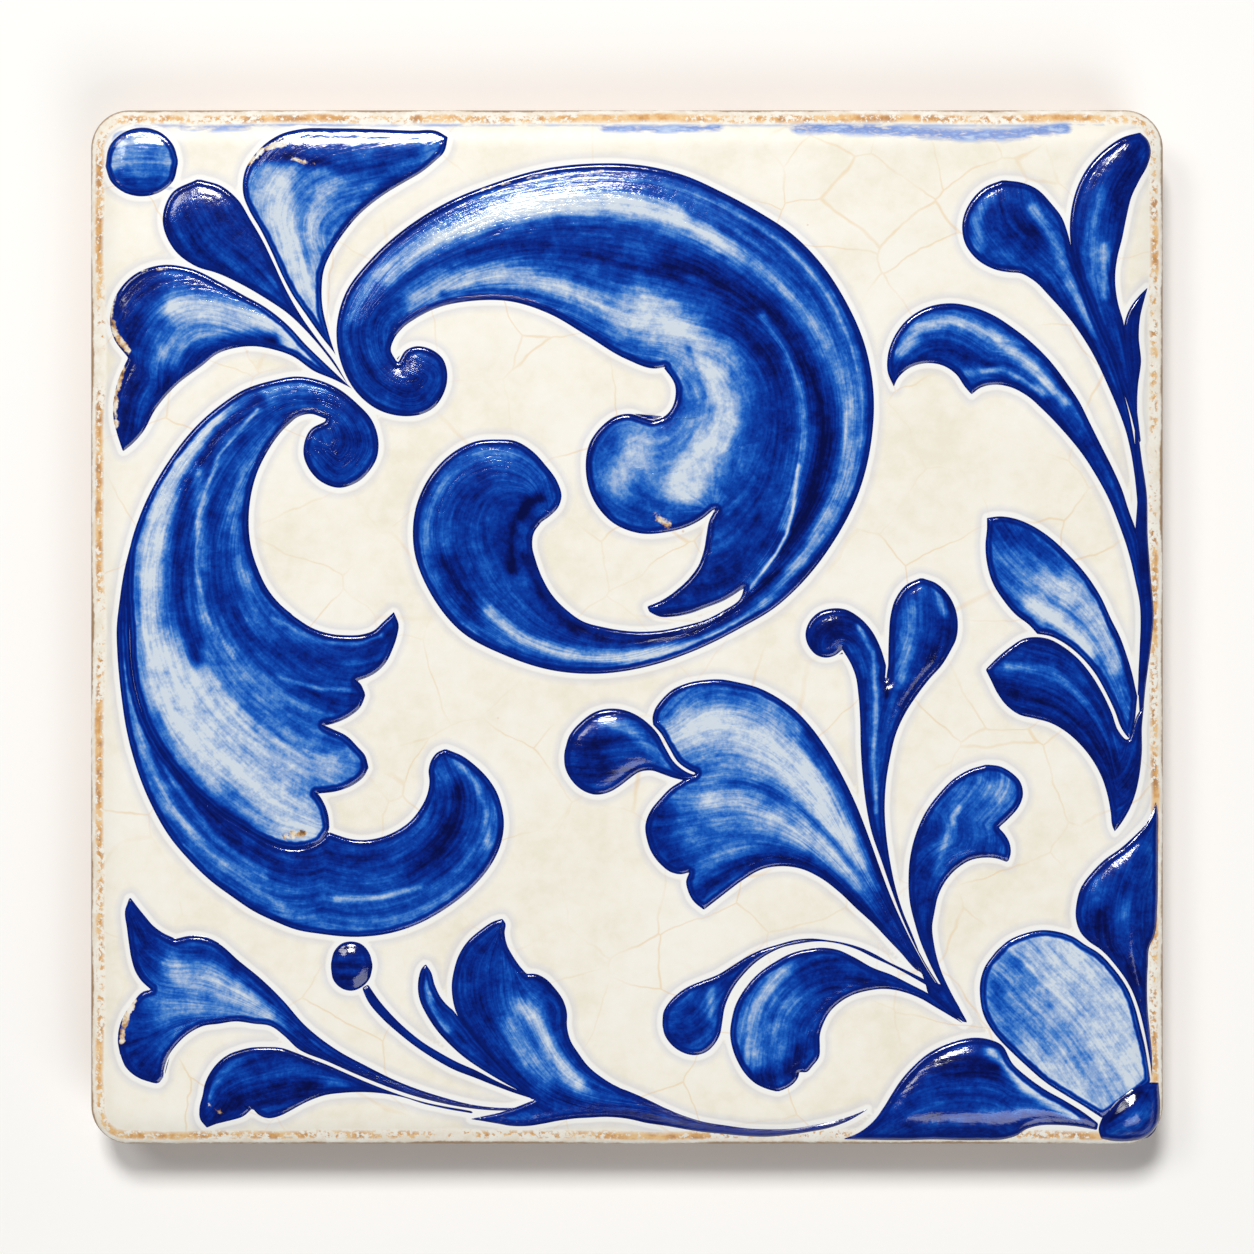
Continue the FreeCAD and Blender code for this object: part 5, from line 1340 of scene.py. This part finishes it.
def tin_glaze():
    """Opaque cream tin glaze: smooth and glossy, with a painted white highlight and a painted lilac shadow
    beside the paint, crazed, worn ochre at the rim.
    """
    material, tree = new_material("tin glaze, opaque cream, crazed and worn at the rim")
    place = node(tree, "ShaderNodeTexCoord", {}, "Object")
    halo = node(tree, READ, {}, "Fac", attribute_name="halo")
    edge = node(tree, READ, {}, "Fac", attribute_name="edge")
    smear = node(tree, READ, {}, "Fac", attribute_name="smear")
    broad = node(tree, NOISE, {"Vector": place, "Scale": 70.0, "Detail": 4.0, "Roughness": 0.6})
    small = node(tree, NOISE, {"Vector": place, "Scale": 420.0, "Detail": 4.0, "Roughness": 0.65})
    fine = node(tree, NOISE, {"Vector": place, "Scale": 1500.0, "Detail": 3.0, "Roughness": 0.65})
    # Cloudy cream, with 1.5 cm clouds of more and less iron in the glaze.
    mottled = node(tree, MATHS, {0: small, 1: 0.6, 2: broad}, operation="MULTIPLY_ADD")
    mottled = node(tree, MATHS, {0: mottled, 1: 0.3}, operation="SUBTRACT")
    colour = node(tree, RAMP, {0: mottled}, stops=[(0.3, "#EAE3D1"), (0.5, "#F0EBDD"), (0.68, "#F3EFE5")])
    # Beside the paint a painted white highlight runs for 0.5 mm, and a thin lilac painted shadow lies at 0.8
    # mm.
    ring = node(tree, MATHS, {0: small, 1: 0.4, 2: halo}, operation="MULTIPLY_ADD")
    ring = node(tree, MATHS, {0: ring, 1: 0.25, 2: -0.05}, operation="MULTIPLY_ADD")
    white = node(tree, RAMP, {0: ring}, stops=[(0.0, 0.85), (0.1, 0.7), (0.15, 0.0)])
    painted_shadow = node(tree, RAMP, {0: ring}, stops=[(0.12, 0.0), (0.18, 0.42), (0.23, 0.3), (0.4, 0.0)])
    colour = node(tree, BLEND, {0: painted_shadow, 6: colour, 7: linear("#C3C6DC")}, 2, data_type="RGBA")
    colour = node(tree, BLEND, {0: white, 6: colour, 7: linear("#F1F2F4")}, 2, data_type="RGBA")
    # Crazing: hairlines between cells about 12 mm across, stained pale ochre and lost in places.
    warp = node(tree, NOISE, {"Vector": place, "Scale": 130.0, "Detail": 3.0}, "Color")
    crazed = {0: warp, 1: (0.003, 0.003, 0.0), 2: place}
    crazed = node(tree, "ShaderNodeVectorMath", crazed, operation="MULTIPLY_ADD")
    cells = node(tree, CELLS, {"Vector": crazed, "Scale": 82.0}, "Distance", feature="DISTANCE_TO_EDGE")
    hair = node(tree, RAMP, {0: cells}, stops=[(0.0, 0.6), (0.006, 0.45), (0.011, 0.0)])
    patchy = node(tree, NOISE, {"Vector": place, "Scale": 60.0, "Detail": 3.0})
    patchy = node(tree, RAMP, {0: patchy}, stops=[(0.46, 0.05), (0.62, 0.7)])
    stain = node(tree, MATHS, {0: hair, 1: patchy}, operation="MULTIPLY")
    colour = node(tree, BLEND, {0: stain, 6: colour, 7: linear("#E3B871")}, 2, data_type="RGBA")
    # Iron specks, 0.4 mm across in cells of 7 mm, shown where the stains are.
    specks = node(tree, CELLS, {"Vector": place, "Scale": 150.0}, "Distance")
    specks = node(tree, RAMP, {0: specks}, stops=[(0.02, 0.8), (0.035, 0.0)])
    specks = node(tree, MATHS, {0: specks, 1: patchy}, operation="MULTIPLY")
    colour = node(tree, BLEND, {0: specks, 6: colour, 7: linear("#C98A3C")}, 2, data_type="RGBA")
    # Blue dragged over the rim by the brush, in streaks along the upper edge.
    dragged = node(tree, STRETCH, {"Vector": place, "Scale": (260.0, 900.0, 1.0)})
    dragged = node(tree, NOISE, {"Vector": dragged, "Scale": 1.0, "Detail": 4.0, "Roughness": 0.65})
    blue = node(tree, RAMP, {0: dragged}, stops=[(0.36, "#2C55B4"), (0.52, "#5F86CE"), (0.64, "#A9BFE2")])
    cover = node(tree, MATHS, {0: dragged, 1: 2.4, 2: -0.6}, operation="MULTIPLY_ADD")
    cover = node(tree, MATHS, {0: cover, 1: smear}, operation="MULTIPLY", use_clamp=True)
    cover = node(tree, RAMP, {0: cover}, stops=[(0.14, 0.0), (0.5, 0.95)])
    colour = node(tree, BLEND, {0: cover, 6: colour, 7: blue}, 2, data_type="RGBA")
    # The rim, from the edge in: a brown line, a whitish strip, then a grainy band of ochre.
    from_edge = node(tree, MATHS, {0: fine, 1: 0.35, 2: edge}, operation="MULTIPLY_ADD")
    from_edge = node(tree, MATHS, {0: broad, 1: 1.6, 2: from_edge}, operation="MULTIPLY_ADD")
    from_edge = node(tree, MATHS, {0: from_edge, 1: 0.2, 2: -0.195}, operation="MULTIPLY_ADD")
    chalk = node(tree, RAMP, {0: from_edge}, stops=[(0.0, 0.9), (0.36, 0.75), (0.44, 0.0)])
    colour = node(tree, BLEND, {0: chalk, 6: colour, 7: linear("#FCF8EE")}, 2, data_type="RGBA")
    tan_place = node(tree, RAMP, {0: from_edge}, stops=[(0.0, 0.5), (0.12, 0.28), (0.3, 0.2), (0.42, 0.0)])
    tan = node(tree, RAMP, {0: small}, stops=[(0.42, 0.0), (0.6, 1.0)])
    tan = node(tree, MATHS, {0: tan_place, 1: tan}, operation="MULTIPLY")
    colour = node(tree, BLEND, {0: tan, 6: colour, 7: linear("#D2B483")}, 2, data_type="RGBA")
    band_place = [(0.13, 0.0), (0.2, 0.9), (0.3, 1.0), (0.37, 0.5), (0.41, 0.0)]
    band = node(tree, RAMP, {0: from_edge}, stops=band_place)
    grainy = node(tree, MATHS, {0: fine, 1: 1.0, 2: broad}, operation="MULTIPLY_ADD")
    grainy = node(tree, RAMP, {0: node(tree, MATHS, {0: grainy, 1: 0.5}, operation="MULTIPLY")},
                  stops=[(0.47, 0.0), (0.515, 0.95)])
    band = node(tree, MATHS, {0: band, 1: grainy}, operation="MULTIPLY")
    ochre = node(tree, RAMP, {0: small}, stops=[(0.36, "#B47A3A"), (0.46, "#DA9C4A"), (0.58, "#EFC486")])
    colour = node(tree, BLEND, {0: band, 6: colour, 7: ochre}, 2, data_type="RGBA")
    lip = node(tree, RAMP, {0: from_edge}, stops=[(0.0, 0.95), (0.035, 0.85), (0.07, 0.0)])
    colour = node(tree, BLEND, {0: lip, 6: colour, 7: linear("#9A7242")}, 2, data_type="RGBA")
    bumps = node(tree, MATHS, {0: small, 1: 0.3, 2: broad}, operation="MULTIPLY_ADD")
    rough_rim = node(tree, MATHS, {0: fine, 1: band}, operation="MULTIPLY")
    bumps = node(tree, MATHS, {0: rough_rim, 1: -0.8, 2: bumps}, operation="MULTIPLY_ADD")
    finish(tree, colour, bumps, 0.07, Roughness=0.42)
    return material


def fired_clay():
    """Low-fired earthenware: sandy buff body on the sides and back, with grog, knife drag and mortar dust."""
    material, tree = new_material("earthenware body, low fired, unglazed")
    place = node(tree, "ShaderNodeTexCoord", {}, "Object")
    broad = node(tree, NOISE, {"Vector": place, "Scale": 60.0, "Detail": 4.0, "Roughness": 0.6})
    # Grog of about 1 mm stands out dark and rough.
    grog = node(tree, NOISE, {"Vector": place, "Scale": 900.0, "Detail": 4.0, "Roughness": 0.7})
    # The knife drags scratches 1 mm high along the sides.
    drag = node(tree, STRETCH, {"Vector": place, "Scale": (30.0, 30.0, 900.0)})
    knife = node(tree, NOISE, {"Vector": drag, "Scale": 1.0, "Detail": 3.0, "Roughness": 0.6})
    colour = node(tree, RAMP, {0: broad}, stops=[(0.3, "#A9774A"), (0.5, "#BE8C5B"), (0.7, "#CFA377")])
    dark = node(tree, RAMP, {0: grog}, stops=[(0.55, 0.0), (0.72, 0.55)])
    colour = node(tree, BLEND, {0: dark, 6: colour, 7: linear("#7E5230")}, 2, data_type="RGBA")
    dust = node(tree, RAMP, {0: knife}, stops=[(0.5, 0.0), (0.75, 0.3)])
    colour = node(tree, BLEND, {0: dust, 6: colour, 7: linear("#DCC4A0")}, 2, data_type="RGBA")
    height = node(tree, MATHS, {0: grog, 1: knife}, operation="ADD")
    finish(tree, colour, height, 0.18, Roughness=0.85)
    return material


def plain_paper():
    """Plain white paper for the floor: matt and even."""
    material, tree = new_material("plain paper")
    surface = node(tree, "ShaderNodeBsdfPrincipled", {"Base Color": linear("#FAF9F7"), "Roughness": 0.9})
    node(tree, "ShaderNodeOutputMaterial", {0: surface})
    return material


def area_light(name, spot, size, power, colour):
    """A square softbox that faces the middle of the tile."""
    lamp = bpy.data.lights.new(name, "AREA")
    lamp.size = size
    lamp.energy = power
    lamp.color = colour
    made = bpy.data.objects.new(name, lamp)
    made.location = spot
    made.rotation_euler = (Vector((0, 0, 0.01)) - Vector(spot)).to_track_quat("-Z", "Y").to_euler()
    bpy.context.scene.collection.objects.link(made)


def set_stage():
    """Pale floor, a softbox beyond the upper edge, a weaker one at its left, weak fill, camera above.

    Both softboxes stand so far out that their mirror images in the flat face fall beside the tile,
    and only the raised paint and the rolled rim catch them.
    """
    reach = 2.5
    corners = reach * np.array([[-1, -1, 0], [1, -1, 0], [1, 1, 0], [-1, 1, 0]], float)
    floor = mesh_from("floor", corners, [np.array([[0, 1, 2, 3]])])
    floor.data.materials.append(plain_paper())
    warm = (1.0, 0.99, 0.97)
    cool = (0.94, 0.97, 1.0)
    area_light("softbox", (-0.12, 0.60, 1.10), 0.27, 11.0, warm)
    area_light("side box", (-0.50, 0.42, 1.00), 0.30, 2.6, warm)
    area_light("fill", (0.35, -0.6, 0.75), 0.6, 3.5, cool)
    world = bpy.data.worlds.new("room")
    world.use_nodes = True
    background = world.node_tree.nodes["Background"]
    background.inputs[0].default_value = (1.0, 1.0, 1.0, 1.0)
    background.inputs[1].default_value = 0.05
    scene = bpy.context.scene
    scene.world = world
    camera = bpy.data.objects.new("camera", bpy.data.cameras.new("camera"))
    camera.data.lens = 100.0
    camera.location = (0, 0, 0.465)
    scene.collection.objects.link(camera)
    scene.camera = camera
    scene.view_settings.view_transform = "Standard"


def main():
    """Makes the materials, the slab and every pad, gives each its slot and body, and sets the stage."""
    paint = cobalt_paint()
    glaze = tin_glaze()
    clay = fired_clay()
    pads, outlines = build_ornament()
    body, vertices = slab_mesh()
    mark_glaze(body, vertices, outlines)
    body.data.materials.append(glaze)
    body.data.materials.append(clay)
    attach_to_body(body, "root")
    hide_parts("tile")
    for piece in pads:
        piece.data.materials.append(paint)
        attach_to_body(piece, "root")
    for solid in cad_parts.values():
        for slot in solid.material_slots:
            slot.material = glaze
    set_stage()


main()
